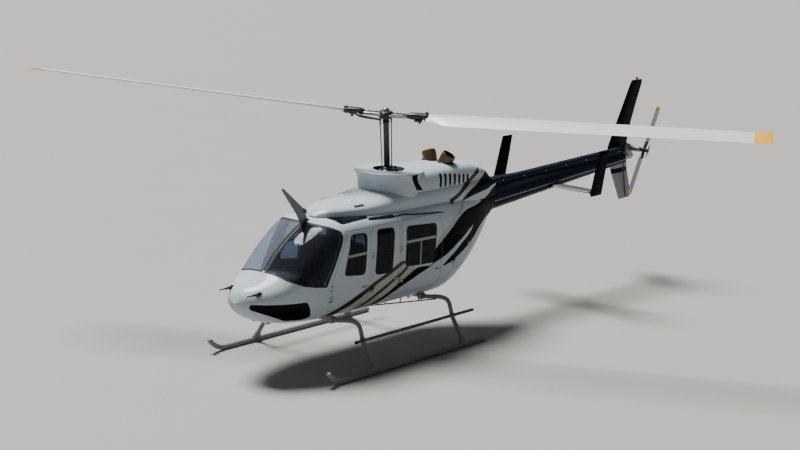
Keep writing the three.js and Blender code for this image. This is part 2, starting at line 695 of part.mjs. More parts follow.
function gearPieces() {
  const pieces = [];
  const tubes = Object.entries(crosstubes).map(([name, x]) => [name, crosstube(x)]);
  for (const [name, side] of Object.entries(sides)) {
    const y = side * skidY;
    const path = new THREE.CurvePath();
    const bend = new THREE.Vector3(2180, y, skidHeight);
    path.add(new THREE.LineCurve3(new THREE.Vector3(-1000, y, skidHeight), bend));
    path.add(new THREE.QuadraticBezierCurve3(bend, new THREE.Vector3(2400, y, skidHeight),
      new THREE.Vector3(2540, y, 205)));
    pieces.push(piece("skid_" + name, pipe(path, skidRadius, 18, tubeSides), lightGrey));
    const rail = tube([[-960, side * stepSeat.y, stepSeat.z], [400, side * stepSeat.y, stepSeat.z],
      [1760, side * stepSeat.y, stepSeat.z]], stepRadius, 4, tubeSides);
    pieces.push(piece("step_" + name, rail, darkGrey));
  }
  for (const [name, solid] of tubes) {
    const groove = [1, -1].map((side) => tube([[-960, side * stepSeat.y, stepSeat.z],
      [400, side * stepSeat.y, stepSeat.z], [1760, side * stepSeat.y, stepSeat.z]], stepRadius + seam, 4, tubeSides));
    const cut = groove.reduce((tubeSolid, cutter) => tubeSolid.subtract(cutter), solid).subtract(hullGrown);
    pieces.push(piece("crosstube_" + name, cut, lightGrey));
  }
  return pieces;
}

function smallPieces() {
  const cutter = sidePrism([[1765, 2070], [1910, 2020], [2010, 2200], [2325, 2590], [2300, 2610], [1850, 2250]], [-11, 11]);
  const pieces = [piece("wire_cutter", cutter.subtract(hullGrown), steel)];
  for (const [name, side] of Object.entries(sides)) {
    const pitot = lengthwise(16, [side * pitotSeat.y, pitotSeat.z], [2900, pitotTip], 12, 9);
    pieces.push(piece("pitot_tube_" + name, pitot.subtract(hullSolid(-seam, noseTip + seam, 0)), steel));
  }
  return pieces;
}

// The main rotor

const yokeReach = 330;

function rotorBlade() {
  // out from the mast, chord, thickness
  const table = [
    [bladeRoot, 190, 56],
    [720, 205, 54],
    [980, bladeChord, 44],
    [2500, bladeChord, 38],
    [4200, bladeChord, 36],
    [rotorRadius - 40, bladeChord, 34],
    [rotorRadius, bladeChord - 50, 20],
  ];
  return loft(table.map(([out, chord, thick]) => {
    const pitch = THREE.MathUtils.degToRad(rootPitch + (tipPitch - rootPitch) * (out / rotorRadius));
    return foil(chord, thick).map(([back, up]) => {
      const forward = chord * 0.27 - back;
      return new THREE.Vector3(
        out,
        forward * Math.cos(pitch) - up * Math.sin(pitch),
        forward * Math.sin(pitch) + up * Math.cos(pitch),
      );
    });
  }));
}

function gripSolid() {
  const sections = [[yokeReach + 1.5, 62, 46], [400, 72, 56], [560, 72, 52], [bladeRoot - seam, 84, 40]];
  return loft(sections.map(([out, half, high]) => Array.from({ length: 16 }, (_, i) => {
    const angle = (2 * Math.PI * (i + 0.5)) / 16;
    const [c, s] = [Math.cos(angle), Math.sin(angle)];
    return new THREE.Vector3(out, Math.sign(c) * half * Math.abs(c) ** 0.6, Math.sign(s) * high * Math.abs(s) ** 0.6);
  })));
}

function mainRotor() {
  const degrees = THREE.MathUtils.degToRad;
  const mastFrame = new THREE.Group();
  mastFrame.position.set(0, 0, deck);
  mastFrame.rotation.y = degrees(mastTilt);
  const turning = new THREE.Group();
  turning.rotation.z = degrees(rotorAzimuth);
  mastFrame.add(turning);

  const shaft = upright(46, [0, 0], [295.6, hubHeight - 55.2], 12)
    .add(upright(92, [0, 0], [330, 372], 16))
    .add(upright(62, [0, 0], [372, 430], 12));
  turning.add(piece("mast", shaft, steel));

  const seesaw = new THREE.Group();
  seesaw.position.z = hubHeight;
  seesaw.rotation.y = degrees(teeter);
  turning.add(seesaw);
  const plate = box([-yokeReach, yokeReach], [-70, 70], [-18, 26]);
  const hubBlock = upright(105, [0, 0], [-52, 52], 16);
  const trunnion = crosswise(42, [0, 0], [-150, 150], 12);
  const cap = upright(58, [0, 0], [50, 100], 12, 40);
  seesaw.add(piece("rotor_hub", plate.add(hubBlock).add(trunnion).add(cap), steel));

  [0, 180].forEach((turn, i) => {
    const arm = new THREE.Group();
    arm.rotation.z = degrees(turn);
    const coned = new THREE.Group();
    coned.rotation.y = -degrees(precone);
    arm.add(coned);
    coned.add(piece("blade_grip_" + (i + 1), gripSolid(), black));
    coned.add(piece("main_blade_" + (i + 1), rotorBlade(), bladeWhite));
    seesaw.add(arm);
  });
  return mastFrame;
}

function tailRotorPieces() {
  const hub = crosswise(34, [0, 0], [290 + seam, 420], 16).add(box([-30, 30], [tailRotor.y - 16, tailRotor.y + 16], [-110, 110]));
  const table = [
    [110 + seam, 70, 26],
    [190, tailRotor.chord, 20],
    [tailRotor.radius - 20, tailRotor.chord, 15],
    [tailRotor.radius, tailRotor.chord - 40, 8],
  ];
  const blade = loft(table.map(([out, chord, thick]) =>
    foil(chord, thick).map(([back, side]) => new THREE.Vector3(chord * 0.35 - back, tailRotor.y + side, out))));
  const turning = new THREE.Group();
  turning.position.set(tailRotor.x, 0, tailRotor.z);
  turning.rotation.y = -THREE.MathUtils.degToRad(tailRotor.lean);
  turning.add(piece("tail_rotor_hub", hub, steel));
  turning.add(piece("tail_blade_1", blade, bladeWhite));
  turning.add(piece("tail_blade_2", blade.rotate([0, 180, 0]), bladeWhite));
  return turning;
}

const helicopter = new THREE.Group();
helicopter.position.x = mastX;
helicopter.add(...cabinPieces(), aftFuselage(), ...fittings(), ...cowlings(), ...powerplant());
helicopter.add(...tailPieces(), ...gearPieces(), ...smallPieces(), mainRotor(), tailRotorPieces());
for (const row of doorTable) {
  for (const name of row[6]) {
    const label = row[6].length > 1 ? row[0] + "_" + name : row[0];
    helicopter.add(piece(label, doorPanel(row, sides[name]), white));
  }
}

const model = new THREE.Group();
model.add(helicopter);
export default model;
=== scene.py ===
# A light helicopter with a stretched cabin, a two-blade rotor and high skids.
import math
import bpy
import numpy as np
from mathutils import Matrix, Vector
from mathutils.bvhtree import BVHTree
from mathutils.interpolate import poly_3d_calc


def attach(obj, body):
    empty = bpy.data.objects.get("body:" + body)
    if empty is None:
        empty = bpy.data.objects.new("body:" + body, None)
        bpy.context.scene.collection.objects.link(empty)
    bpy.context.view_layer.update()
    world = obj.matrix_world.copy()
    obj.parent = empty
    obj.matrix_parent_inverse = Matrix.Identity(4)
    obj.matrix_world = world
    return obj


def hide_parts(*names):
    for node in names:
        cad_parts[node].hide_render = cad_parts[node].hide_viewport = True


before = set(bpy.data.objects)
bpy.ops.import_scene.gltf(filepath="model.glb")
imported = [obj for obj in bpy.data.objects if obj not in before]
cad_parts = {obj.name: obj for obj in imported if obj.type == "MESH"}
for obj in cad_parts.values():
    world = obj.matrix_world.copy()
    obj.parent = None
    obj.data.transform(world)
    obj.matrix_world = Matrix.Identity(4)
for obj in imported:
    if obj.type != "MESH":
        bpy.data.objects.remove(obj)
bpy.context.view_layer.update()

mastX = 1.940  # metres from the middle of the model to the rotor mast


# Camera

view = {
    "place": (22.551, 17.190, 7.560),
    "forward": (-0.75524, -0.62049, -0.21118),
    "up": (-0.13910, -0.16313, 0.97675),
    "lens": 82.1,
}


def makeCamera():
    data = bpy.data.cameras.new("camera")
    data.lens = view["lens"]
    data.sensor_width = 36
    data.clip_end = 300
    camera = bpy.data.objects.new("camera", data)
    bpy.context.scene.collection.objects.link(camera)
    forward = Vector(view["forward"]).normalized()
    right = forward.cross(Vector(view["up"])).normalized()
    up = right.cross(forward)
    turn = Matrix((right, up, -forward)).transposed().to_4x4()
    camera.matrix_world = Matrix.Translation(view["place"]) @ turn
    bpy.context.scene.camera = camera


makeCamera()
print("camera placed")


# Mesh helpers. Shapes are (points, faces) in millimetres from the foot of the mast, like the CAD tables.

def toRow(points):
    return np.asarray(points, float) / 1000 + (mastX, 0, 0)


def makeObject(name, shapes, materials=(), smooth=True):
    points, faces, slots = [], [], []
    total = 0
    for shape in shapes:
        shapePoints, shapeFaces = shape[:2]
        points.append(np.asarray(shapePoints, float))
        faces += [tuple(i + total for i in face) for face in shapeFaces]
        slots += [shape[2] if len(shape) > 2 else 0] * len(shapeFaces)
        total += len(shapePoints)
    mesh = bpy.data.meshes.new(name)
    mesh.from_pydata(toRow(np.concatenate(points)).tolist(), [], faces)
    mesh.polygons.foreach_set("material_index", slots)
    mesh.polygons.foreach_set("use_smooth", [smooth] * len(faces))
    for material in materials:
        mesh.materials.append(material)
    mesh.update()
    mesh.validate()
    obj = bpy.data.objects.new(name, mesh)
    bpy.context.scene.collection.objects.link(obj)
    return obj


def outward(points, faces):
    points = np.asarray(points, float)
    volume = 0.0
    for face in faces:
        first = points[face[0]]
        for k in range(1, len(face) - 1):
            volume += np.dot(first, np.cross(points[face[k]], points[face[k + 1]]))
    return [tuple(reversed(face)) for face in faces] if volume < 0 else faces


def loftOf(rings, capped=True):
    rings = [np.asarray(ring, float) for ring in rings]
    count = len(rings[0])
    faces = []
    for r in range(len(rings) - 1):
        for i in range(count):
            a, b = r * count + i, r * count + (i + 1) % count
            faces.append((a, b, b + count, a + count))
    if capped:
        last = (len(rings) - 1) * count
        faces.append(tuple(range(count))[::-1])
        faces.append(tuple(range(last, last + count)))
    points = np.concatenate(rings)
    if capped:
        faces = outward(points, faces)
    return points, faces


def prismOf(outline, low, high):
    return loftOf([[(x, y, z) for x, z in outline] for y in (low, high)])


def latheOf(profile, centre=(0, 0, 0), count=64, turn=None):
    rings = []
    for radius, height in profile:
        angles = 2 * np.pi * np.arange(count) / count
        rings.append(np.stack([radius * np.cos(angles), radius * np.sin(angles), np.full(count, height)], 1))
    points, faces = loftOf(rings)
    if turn is not None:
        points = points @ np.array(turn.to_3x3()).T
    return points + np.asarray(centre, float), faces


def pipeOf(path, radius, sides=16, capped=True, flat=1.0):
    path = np.asarray(path, float)
    radii = np.broadcast_to(np.asarray(radius, float), (len(path),))
    tangents = np.gradient(path, axis=0)
    tangents /= np.linalg.norm(tangents, axis=1)[:, None]
    across = np.cross(tangents[0], (0, 0, 1) if abs(tangents[0][2]) < 0.9 else (1, 0, 0))
    rings = []
    for point, tangent, r in zip(path, tangents, radii):
        across = across - tangent * np.dot(across, tangent)
        across /= np.linalg.norm(across)
        other = np.cross(tangent, across)
        angles = 2 * np.pi * np.arange(sides) / sides
        rings.append(point + r * (np.cos(angles)[:, None] * across + flat * np.sin(angles)[:, None] * other))
    return loftOf(rings, capped)


def smoothPath(points, steps=8):
    points = np.asarray(points, float)
    padded = np.concatenate([[2 * points[0] - points[1]], points, [2 * points[-1] - points[-2]]])
    result = []
    for i in range(len(points) - 1):
        a, b, c, d = padded[i:i + 4]
        for u in np.linspace(0, 1, steps, endpoint=False):
            result.append(0.5 * (2 * b + (c - a) * u + (2 * a - 5 * b + 4 * c - d) * u ** 2
                + (3 * b - a - 3 * c + d) * u ** 3))
    result.append(points[-1])
    return np.array(result)


# A ring of points, round at power 1 and squarer below it
def softRing(across, up, count, power=1, upPower=None):
    turns = np.linspace(0, 2 * math.pi, count + 1)[:-1]
    return [(across * math.copysign(abs(math.cos(t)) ** power, math.cos(t)),
        up * math.copysign(abs(math.sin(t)) ** (upPower or power), math.sin(t))) for t in turns]


# A bolt, a pin or a round cutter
def pegOf(radius, low, high, place=(0, 0, 0), sides=8, turn=None, crown=1):
    return latheOf([(0.1, low), (radius, low), (radius, high), (0.1, high + crown)], place, sides, turn)


def quarter(turns, axis):
    return Matrix.Rotation(turns * math.pi / 2, 4, axis)


def turned(degrees, axis):
    return Matrix.Rotation(math.radians(degrees), 4, axis)


def softBox(start, end, radius=10, steps=3):
    low, high = np.minimum(start, end).astype(float), np.maximum(start, end).astype(float)
    radius = min([radius] + list((high - low) * 0.49))
    turns = np.linspace(0, np.pi / 2, steps + 1)
    levels = [(low[2] + radius * (1 - math.sin(t)), radius * (1 - math.cos(t))) for t in turns[::-1]]
    levels += [(high[2] - radius * (1 - math.sin(t)), radius * (1 - math.cos(t))) for t in turns]
    rings = []
    for z, pull in levels:
        ring = []
        for k, (sx, sy) in enumerate([(1, 1), (-1, 1), (-1, -1), (1, -1)]):
            cx = (high[0] if sx > 0 else low[0]) - sx * radius
            cy = (high[1] if sy > 0 else low[1]) - sy * radius
            for t in turns:
                angle = k * np.pi / 2 + t
                reach = max(radius - pull, 0.02)
                ring.append((cx + reach * math.cos(angle), cy + reach * math.sin(angle), z))
        rings.append(ring)
    return loftOf(rings)


def moved(shape, matrix):
    points = np.asarray(shape[0], float)
    turned = points @ np.array(matrix.to_3x3()).T + np.array(matrix.to_translation())
    faces = shape[1] if matrix.determinant() > 0 else [tuple(reversed(f)) for f in shape[1]]
    return (turned, faces) + tuple(shape[2:])


def painted(shape, slot):
    return (shape[0], shape[1], slot)


def boolean(obj, tool, how="DIFFERENCE", keepTool=False):
    modifier = obj.modifiers.new("cut", "BOOLEAN")
    modifier.operation = how
    modifier.solver = "MANIFOLD"
    modifier.object = tool
    graph = bpy.context.evaluated_depsgraph_get()
    mesh = bpy.data.meshes.new_from_object(obj.evaluated_get(graph))
    obj.modifiers.clear()
    old = obj.data
    obj.data = mesh
    bpy.data.meshes.remove(old)
    if not keepTool:
        scrap(tool)
    return obj


def scrap(obj):
    mesh = obj.data
    bpy.data.objects.remove(obj)
    bpy.data.meshes.remove(mesh)


def tool(*shapes):
    return makeObject("tool", shapes, smooth=False)


def lookup(shape):
    points = toRow(shape[0])
    faces = shape[1]
    normals = np.zeros_like(points)
    for face in faces:
        a, b, c = points[face[0]], points[face[1]], points[face[2]]
        d = points[face[-1]]
        normal = np.cross(c - a, d - b) if len(face) == 4 else np.cross(b - a, c - a)
        for i in face:
            normals[i] += normal
    normals /= np.maximum(np.linalg.norm(normals, axis=1), 1e-12)[:, None]
    vectors = [Vector(p) for p in points]
    return BVHTree.FromPolygons(vectors, faces), vectors, normals, faces


skinReach = 0.0005  # how near a point must be to a surface to take its normal


# Gives a cut skin the smooth normals of the surfaces it was cut from, and a material by which one it lies on
def finishSkin(obj, surfaces, slotOf=lambda kind, polygon: 0):
    mesh = obj.data
    found = []
    for vertex in mesh.vertices:
        options = []
        for k, (tree, vectors, normals, faces) in enumerate(surfaces):
            place, _, index, _ = tree.find_nearest(vertex.co, skinReach)
            if place is None:
                continue
            face = faces[index]
            weights = poly_3d_calc([vectors[i] for i in face], place)
            normal = sum((normals[i] * w for i, w in zip(face, weights)), np.zeros(3))
            length = np.linalg.norm(normal)
            if length > 1e-6:
                options.append((k, normal / length))
        found.append(options)
    custom = [None] * len(mesh.loops)
    slots = []
    for polygon in mesh.polygons:
        flat = np.array(polygon.normal)
        votes = []
        for loop in polygon.loop_indices:
            best, side = flat, -1
            highest = 0.8
            for k, normal in found[mesh.loops[loop].vertex_index]:
                match = float(np.dot(normal, flat))
                sign = 1 if match > 0 else -1
                if abs(match) > highest:
                    highest, best, side = abs(match), normal * sign, k
            custom[loop] = best
            votes.append(side)
        slots.append(slotOf(min(votes), polygon))
    mesh.polygons.foreach_set("use_smooth", [True] * len(mesh.polygons))
    mesh.polygons.foreach_set("material_index", slots)
    mesh.normals_split_custom_set([tuple(n) for n in custom])
    mesh.update()


def mount(obj, body, slotName, *nodes):
    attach(obj, body)
    if nodes:
        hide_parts(*nodes)
    return obj


def addPiece(name, shapes, materials, slotName, *nodes, body="airframe", smooth=True):
    return mount(makeObject(name, shapes, materials, smooth), body, slotName, *nodes)


# Finishes

finishes = {
    # the hull's white paint, darkened and tinted blue as painted sky shade
    "white": (0.47, 0.54, 0.61),
    "navy": (0.014, 0.020, 0.034),
    "black": (0.002, 0.003, 0.005),
    "cream": (0.42, 0.425, 0.38),
    "olive": (0.032, 0.034, 0.022),
    "gear": (0.21, 0.20, 0.20),
    "teal": (0.05, 0.14, 0.17),
    "leather": (0.115, 0.036, 0.026),
    "trim": (0.035, 0.038, 0.044),
    "rust": (0.16, 0.09, 0.06),
    "tipYellow": (0.86, 0.42, 0.012),
}
stripes = {  # x and z seen from the side, in metres, then the height of each line
    "olive": [([(2.21, 1.275), (2.33, 1.20), (2.41, 1.163), (2.507, 1.126), (2.66, 1.052), (2.85, 0.96),
        (2.95, 0.905), (3.2, 0.77)], 0.056),
        ([(1.06, 2.072), (1.0, 2.088), (0.875, 2.130), (0.75, 2.182), (0.675, 2.222), (0.6, 2.255),
        (0.5, 2.295), (0.375, 2.34), (0.25, 2.385), (0.1, 2.43)], 0.072)],
    "cream": [([(1.575, 1.47), (1.457, 1.561), (1.326, 1.648), (1.178, 1.74), (1.02, 1.845),
        (0.9125, 1.90)], 0.105),
        ([(0.95, 1.88), (0.8, 1.975), (0.7, 2.068), (0.625, 2.14), (0.5, 2.205), (0.375, 2.245),
        (0.25, 2.275), (0.125, 2.305), (0.0, 2.345), (-0.125, 2.39)], 0.09)],
    "noseTop": [(2.27, 1.372), (2.354, 1.378), (2.448, 1.350), (2.6, 1.288), (2.773, 1.226), (2.95, 1.168),
        (3.108, 1.102), (3.258, 1.043), (3.402, 0.984), (3.533, 0.932), (3.65, 0.884), (4.0, 0.74)],
    "noseFoot": [(2.27, 1.340), (2.339, 1.322), (2.444, 1.282), (2.6, 1.218), (2.765, 1.160), (2.876, 1.120),
        (2.994, 1.066), (3.116, 1.007), (3.228, 0.955), (3.355, 0.893), (3.47, 0.848), (3.7, 0.755),
        (4.0, 0.63)],
    "creamTop": [(2.03, 1.20), (2.1, 1.30), (2.27, 1.36), (2.6, 1.25), (2.95, 1.12), (3.25, 1.0),
        (3.65, 0.83), (4.0, 0.69)],
    "bandTop": [(3.3, 0.58), (2.9, 0.775), (2.784, 0.836), (2.703, 0.880), (2.594, 0.936), (2.5, 0.99),
        (2.4, 1.042), (2.3, 1.093), (2.2, 1.138), (2.12, 1.172), (2.04, 1.208), (1.95, 1.224),
        (1.825, 1.221), (1.7, 1.209), (1.62, 1.235), (1.59, 1.30), (1.575, 1.42), (1.55, 1.458),
        (1.457, 1.52), (1.326, 1.605), (1.178, 1.70), (1.02, 1.798), (0.9125, 1.85), (0.75, 1.90),
        (0.6, 1.918), (0.375, 1.925), (0.125, 1.95), (-0.125, 2.01), (-0.3, 2.075), (-0.5, 2.12)],
    "bandFoot": [(3.3, 0.55), (2.9, 0.69), (2.784, 0.748), (2.693, 0.798), (2.59, 0.858), (2.507, 0.902),
        (2.417, 0.935), (2.314, 0.981), (2.176, 1.029), (1.997, 1.088), (1.9, 1.12), (1.778, 1.155),
        (1.69, 1.183), (1.604, 1.215), (1.56, 1.235), (1.43, 1.268), (1.307, 1.305), (1.143, 1.37),
        (0.937, 1.462), (0.8, 1.512), (0.717, 1.548), (0.6, 1.60), (0.5, 1.63), (0.3, 1.67), (0.1, 1.72),
        (-0.1, 1.77), (-0.5, 1.80)],
    "lowTop": [(-0.5, 1.87), (0.3, 1.80), (0.42, 1.69), (0.52, 1.592), (0.66, 1.507), (0.8, 1.447),
        (0.916, 1.392), (1.05, 1.325), (1.183, 1.262), (1.35, 1.168)],
    "lowFoot": [(-0.5, 1.58), (-0.35, 1.64), (-0.207, 1.685), (-0.059, 1.665), (0.17, 1.59), (0.389, 1.467),
        (0.5, 1.41), (0.644, 1.347), (0.8, 1.292), (0.949, 1.24), (1.1, 1.19), (1.2, 1.165), (1.35, 1.14)],
    # The black area on the cowling is paint; where its top rises aft of x 0 it also covers painted shade on
    # the rear top of the cowling.
    "cowlTop": [(0.745, 2.03), (0.625, 2.105), (0.5, 2.17), (0.375, 2.21), (0.25, 2.24), (0.125, 2.27),
        (0.0, 2.306), (-0.125, 2.35), (-0.3, 2.44), (-0.6, 2.7)],
    "cowlFoot": [(0.745, 2.03), (0.5625, 2.056), (0.375, 2.08), (0.125, 2.094), (-0.125, 2.106),
        (-0.25, 2.125), (-0.6, 2.15)],
}


def node(tree, kind, inputs=None, **settings):
    made = tree.nodes.new("ShaderNode" + kind)
    for key, item in settings.items():
        setattr(made, key, item)
    for key, item in (inputs or {}).items():
        if isinstance(item, bpy.types.NodeSocket):
            tree.links.new(item, made.inputs[key])
        else:
            made.inputs[key].default_value = item
    return made


def value(tree, operation, first, second=None, third=None, clamp=False):
    made = tree.nodes.new("ShaderNodeMath")
    made.operation = operation
    made.use_clamp = clamp
    for socket, item in zip(made.inputs, (first, second, third)):
        if isinstance(item, (int, float)):
            socket.default_value = item
        elif item is not None:
            tree.links.new(item, socket)
    return made.outputs[0]


def mixColor(tree, factor, first, second):
    made = node(tree, "Mix", data_type="RGBA")
    for socket, item in ((made.inputs[0], factor), (made.inputs[6], first), (made.inputs[7], second)):
        if isinstance(item, bpy.types.NodeSocket):
            tree.links.new(item, socket)
        elif isinstance(item, (int, float)):
            socket.default_value = item
        else:
            socket.default_value = tuple(item) + (1,) * (4 - len(item))
    return made.outputs[2]


def newGroup(name, inputs, outputs):
    tree = bpy.data.node_groups.new(name, "ShaderNodeTree")
    for label, kind, start in inputs:
        socket = tree.interface.new_socket(label, in_out="INPUT", socket_type="NodeSocket" + kind)
        socket.default_value = start
    for label, kind in outputs:
        tree.interface.new_socket(label, in_out="OUTPUT", socket_type="NodeSocket" + kind)
    return tree, tree.nodes.new("NodeGroupInput"), tree.nodes.new("NodeGroupOutput")


def makeSurfaceGroup():
    tree, given, result = newGroup("surfaceWear", [("Color", "Color", (0.8, 0.8, 0.8, 1)),
        ("Roughness", "Float", 0.4), ("Variation", "Float", 0.05), ("Grime", "Float", 0.15),
        ("Grain", "Float", 200.0), ("Grain depth", "Float", 0.2)],
        [("Color", "Color"), ("Roughness", "Float"), ("Height", "Float")])
    place = node(tree, "TexCoord").outputs["Object"]
    broad = node(tree, "TexNoise", {"Vector": place, "Scale": 2.3, "Detail": 5, "Roughness": 0.6}).outputs[0]
    stretched = node(tree, "Mapping", {"Vector": place, "Scale": (16, 16, 1.6)}).outputs[0]
    streak = node(tree, "TexNoise", {"Vector": stretched, "Scale": 1, "Detail": 4,
        "Roughness": 0.65}).outputs[0]
    grain = node(tree, "TexNoise", {"Vector": place, "Scale": given.outputs["Grain"], "Detail": 3}).outputs[0]
    spread = value(tree, "MULTIPLY", value(tree, "SUBTRACT", broad, 0.5), given.outputs["Variation"])
    bright = value(tree, "ADD", value(tree, "MULTIPLY", spread, 2), 1)
    varied = node(tree, "VectorMath", {0: given.outputs["Color"]}, operation="SCALE")
    tree.links.new(bright, varied.inputs["Scale"])
    streaks = value(tree, "MULTIPLY", value(tree, "SUBTRACT", streak, 0.50, clamp=True), 4, clamp=True)
    patches = value(tree, "MULTIPLY", value(tree, "SUBTRACT", broad, 0.42, clamp=True), 3, clamp=True)
    dirt = value(tree, "MULTIPLY", value(tree, "MULTIPLY", streaks, patches), given.outputs["Grime"],
        clamp=True)
    colour = mixColor(tree, dirt, varied.outputs[0], (0.030, 0.026, 0.021))
    tree.links.new(colour, result.inputs["Color"])
    rough = value(tree, "ADD", given.outputs["Roughness"], value(tree, "MULTIPLY", dirt, 0.5))
    rough = value(tree, "ADD", rough, value(tree, "MULTIPLY", spread, 0.8), clamp=True)
    tree.links.new(rough, result.inputs["Roughness"])
    tree.links.new(value(tree, "MULTIPLY", grain, given.outputs["Grain depth"]), result.inputs["Height"])
    return tree


def curveAt(tree, x, points):
    points = sorted(points)
    xs, zs = [p[0] for p in points], [p[1] for p in points]
    low, high = min(zs) - 0.01, max(zs) + 0.01
    along = node(tree, "MapRange", {"Value": x, "From Min": xs[0], "From Max": xs[-1], "To Min": 0,
        "To Max": 1})
    curve = node(tree, "FloatCurve", {"Value": along.outputs[0]})
    line = curve.mapping.curves[0]
    scaled = [((a - xs[0]) / (xs[-1] - xs[0]), (b - low) / (high - low)) for a, b in points]
    line.points[0].location, line.points[1].location = scaled[0], scaled[-1]
    for spot in scaled[1:-1]:
        line.points.new(*spot)
    for spot in line.points:
        spot.handle_type = "AUTO_CLAMPED"
    curve.mapping.update()
    return value(tree, "MULTIPLY_ADD", curve.outputs[0], high - low, low)


def between(tree, x, low, high, soft=0.003):
    first = value(tree, "MULTIPLY", value(tree, "SUBTRACT", x, low), 1 / soft, clamp=True)
    second = value(tree, "MULTIPLY", value(tree, "SUBTRACT", high, x), 1 / soft, clamp=True)
    return value(tree, "MULTIPLY", first, second)


sharp = 300  # how steeply a painted edge begins, per metre


def lineMask(tree, x, z, points, width):
    away = value(tree, "ABSOLUTE", value(tree, "SUBTRACT", z, curveAt(tree, x, points)))
    near = value(tree, "MULTIPLY", value(tree, "SUBTRACT", width * 0.58, away), sharp, clamp=True)
    places = [p[0] for p in points]
    return value(tree, "MULTIPLY", near, between(tree, x, min(places), max(places)))


def areaMask(tree, x, z, top, foot):
    high, low = curveAt(tree, x, top), curveAt(tree, x, foot)
    inside = between(tree, z, low, high, 1 / sharp)
    first = max(min(p[0] for p in top), min(p[0] for p in foot))
    last = min(max(p[0] for p in top), max(p[0] for p in foot))
    return value(tree, "MULTIPLY", inside, between(tree, x, first, last))


def makeStripeGroup():
    tree, _, result = newGroup("sideStripes", [], [("Olive", "Float"), ("Cream", "Float"),
        ("Black", "Float")])
    place = node(tree, "SeparateXYZ", {0: node(tree, "TexCoord").outputs["Object"]})
    x, z = place.outputs[0], place.outputs[2]
    olive = [lineMask(tree, x, z, points, height) for points, height in stripes["olive"]]
    cream = [lineMask(tree, x, z, points, height) for points, height in stripes["cream"]]
    olive.append(areaMask(tree, x, z, stripes["noseTop"], stripes["noseFoot"]))
    front = [p for p in stripes["bandTop"] if p[0] > 2.02]
    cream.append(areaMask(tree, x, z, stripes["creamTop"], front))
    black = [areaMask(tree, x, z, stripes[top], stripes[foot]) for top, foot in (("bandTop", "bandFoot"),
        ("lowTop", "lowFoot"), ("cowlTop", "cowlFoot"))]
    for label, masks in (("Olive", olive), ("Cream", cream), ("Black", black)):
        total = masks[0]
        for mask in masks[1:]:
            total = value(tree, "MAXIMUM", total, mask)
        tree.links.new(total, result.inputs[label])
    return tree


surfaceGroup = makeSurfaceGroup()
stripeGroup = makeStripeGroup()


def startMaterial(name):
    material = bpy.data.materials.new(name)
    material.use_nodes = True
    tree = material.node_tree
    shader = next(n for n in tree.nodes if n.type == "BSDF_PRINCIPLED")
    return material, tree, shader


def wear(tree, shader, colour, roughness, variation, grime, grain, depth, strength):
    detail = tree.nodes.new("ShaderNodeGroup")
    detail.node_tree = surfaceGroup
    if isinstance(colour, bpy.types.NodeSocket):
        tree.links.new(colour, detail.inputs["Color"])
    else:
        detail.inputs["Color"].default_value = tuple(colour) + (1,)
    for label, item in (("Roughness", roughness), ("Variation", variation), ("Grime", grime),
            ("Grain", grain), ("Grain depth", depth)):
        if isinstance(item, bpy.types.NodeSocket):
            tree.links.new(item, detail.inputs[label])
        else:
            detail.inputs[label].default_value = item
    tree.links.new(detail.outputs["Color"], shader.inputs["Base Color"])
    tree.links.new(detail.outputs["Roughness"], shader.inputs["Roughness"])
    bump = node(tree, "Bump", {"Height": detail.outputs["Height"], "Strength": strength, "Distance": 0.001})
    tree.links.new(bump.outputs[0], shader.inputs["Normal"])
    return detail


def simpleFinish(name, colour, roughness, metallic=0.0, variation=0.06, grime=0.15, grain=200, depth=0.4,
        strength=0.4, coat=0.0, shine=0.5):
    material, tree, shader = startMaterial(name)
    shader.inputs["Metallic"].default_value = metallic
    shader.inputs["Specular IOR Level"].default_value = shine
    shader.inputs["Coat Weight"].default_value = coat
    shader.inputs["Coat Roughness"].default_value = 0.06
    wear(tree, shader, colour, roughness, variation, grime, grain, depth, strength)
    return material


def stripedPaint(name, base, masks):
    material, tree, shader = startMaterial(name)
    shader.inputs["Specular IOR Level"].default_value = 0.01
    shader.inputs["Coat Roughness"].default_value = 0.12
    lines = tree.nodes.new("ShaderNodeGroup")
    lines.node_tree = stripeGroup
    colour = node(tree, "RGB").outputs[0]
    colour.default_value = tuple(base) + (1,)
    for label, paint in masks:
        colour = mixColor(tree, lines.outputs[label], colour, paint)
    bare = value(tree, "SUBTRACT", 1, lines.outputs["Black"])
    tree.links.new(value(tree, "MULTIPLY", bare, 0.22), shader.inputs["Coat Weight"])
    wear(tree, shader, colour, 0.30, 0.035, 0.10, 90, 0.3, 0.12)
    return material


def glassFinish(name, colour, roughness=0.0, through=1.0, index=1.3):
    material, tree, shader = startMaterial(name)
    shader.inputs["Transmission Weight"].default_value = through
    shader.inputs["IOR"].default_value = index
    shader.inputs["Roughness"].default_value = roughness
    place = node(tree, "TexCoord").outputs["Object"]
    haze = node(tree, "TexNoise", {"Vector": place, "Scale": 6, "Detail": 4}).outputs[0]
    tree.links.new(mixColor(tree, haze, colour, [c * 0.93 for c in colour]), shader.inputs["Base Color"])
    return material


def padFinish(name, colour):
    material, tree, shader = startMaterial(name)
    shader.inputs["Sheen Weight"].default_value = 0.15
    place = node(tree, "TexCoord").outputs["Object"]
    cells = node(tree, "TexVoronoi", {"Vector": place, "Scale": 170}, feature="DISTANCE_TO_EDGE").outputs[0]
    creases = value(tree, "MULTIPLY", cells, 2.2, clamp=True)
    fine = node(tree, "TexNoise", {"Vector": place, "Scale": 320, "Detail": 2}).outputs[0]
    detail = wear(tree, shader, colour, 0.5, 0.16, 0.08, 90, 0.5, 0.5)
    height = value(tree, "MULTIPLY_ADD", creases, 0.5, value(tree, "MULTIPLY", fine, 0.3))
    bump = next(n for n in tree.nodes if n.type == "BUMP")
    tree.links.new(value(tree, "ADD", height, detail.outputs["Height"]), bump.inputs["Height"])
    return material
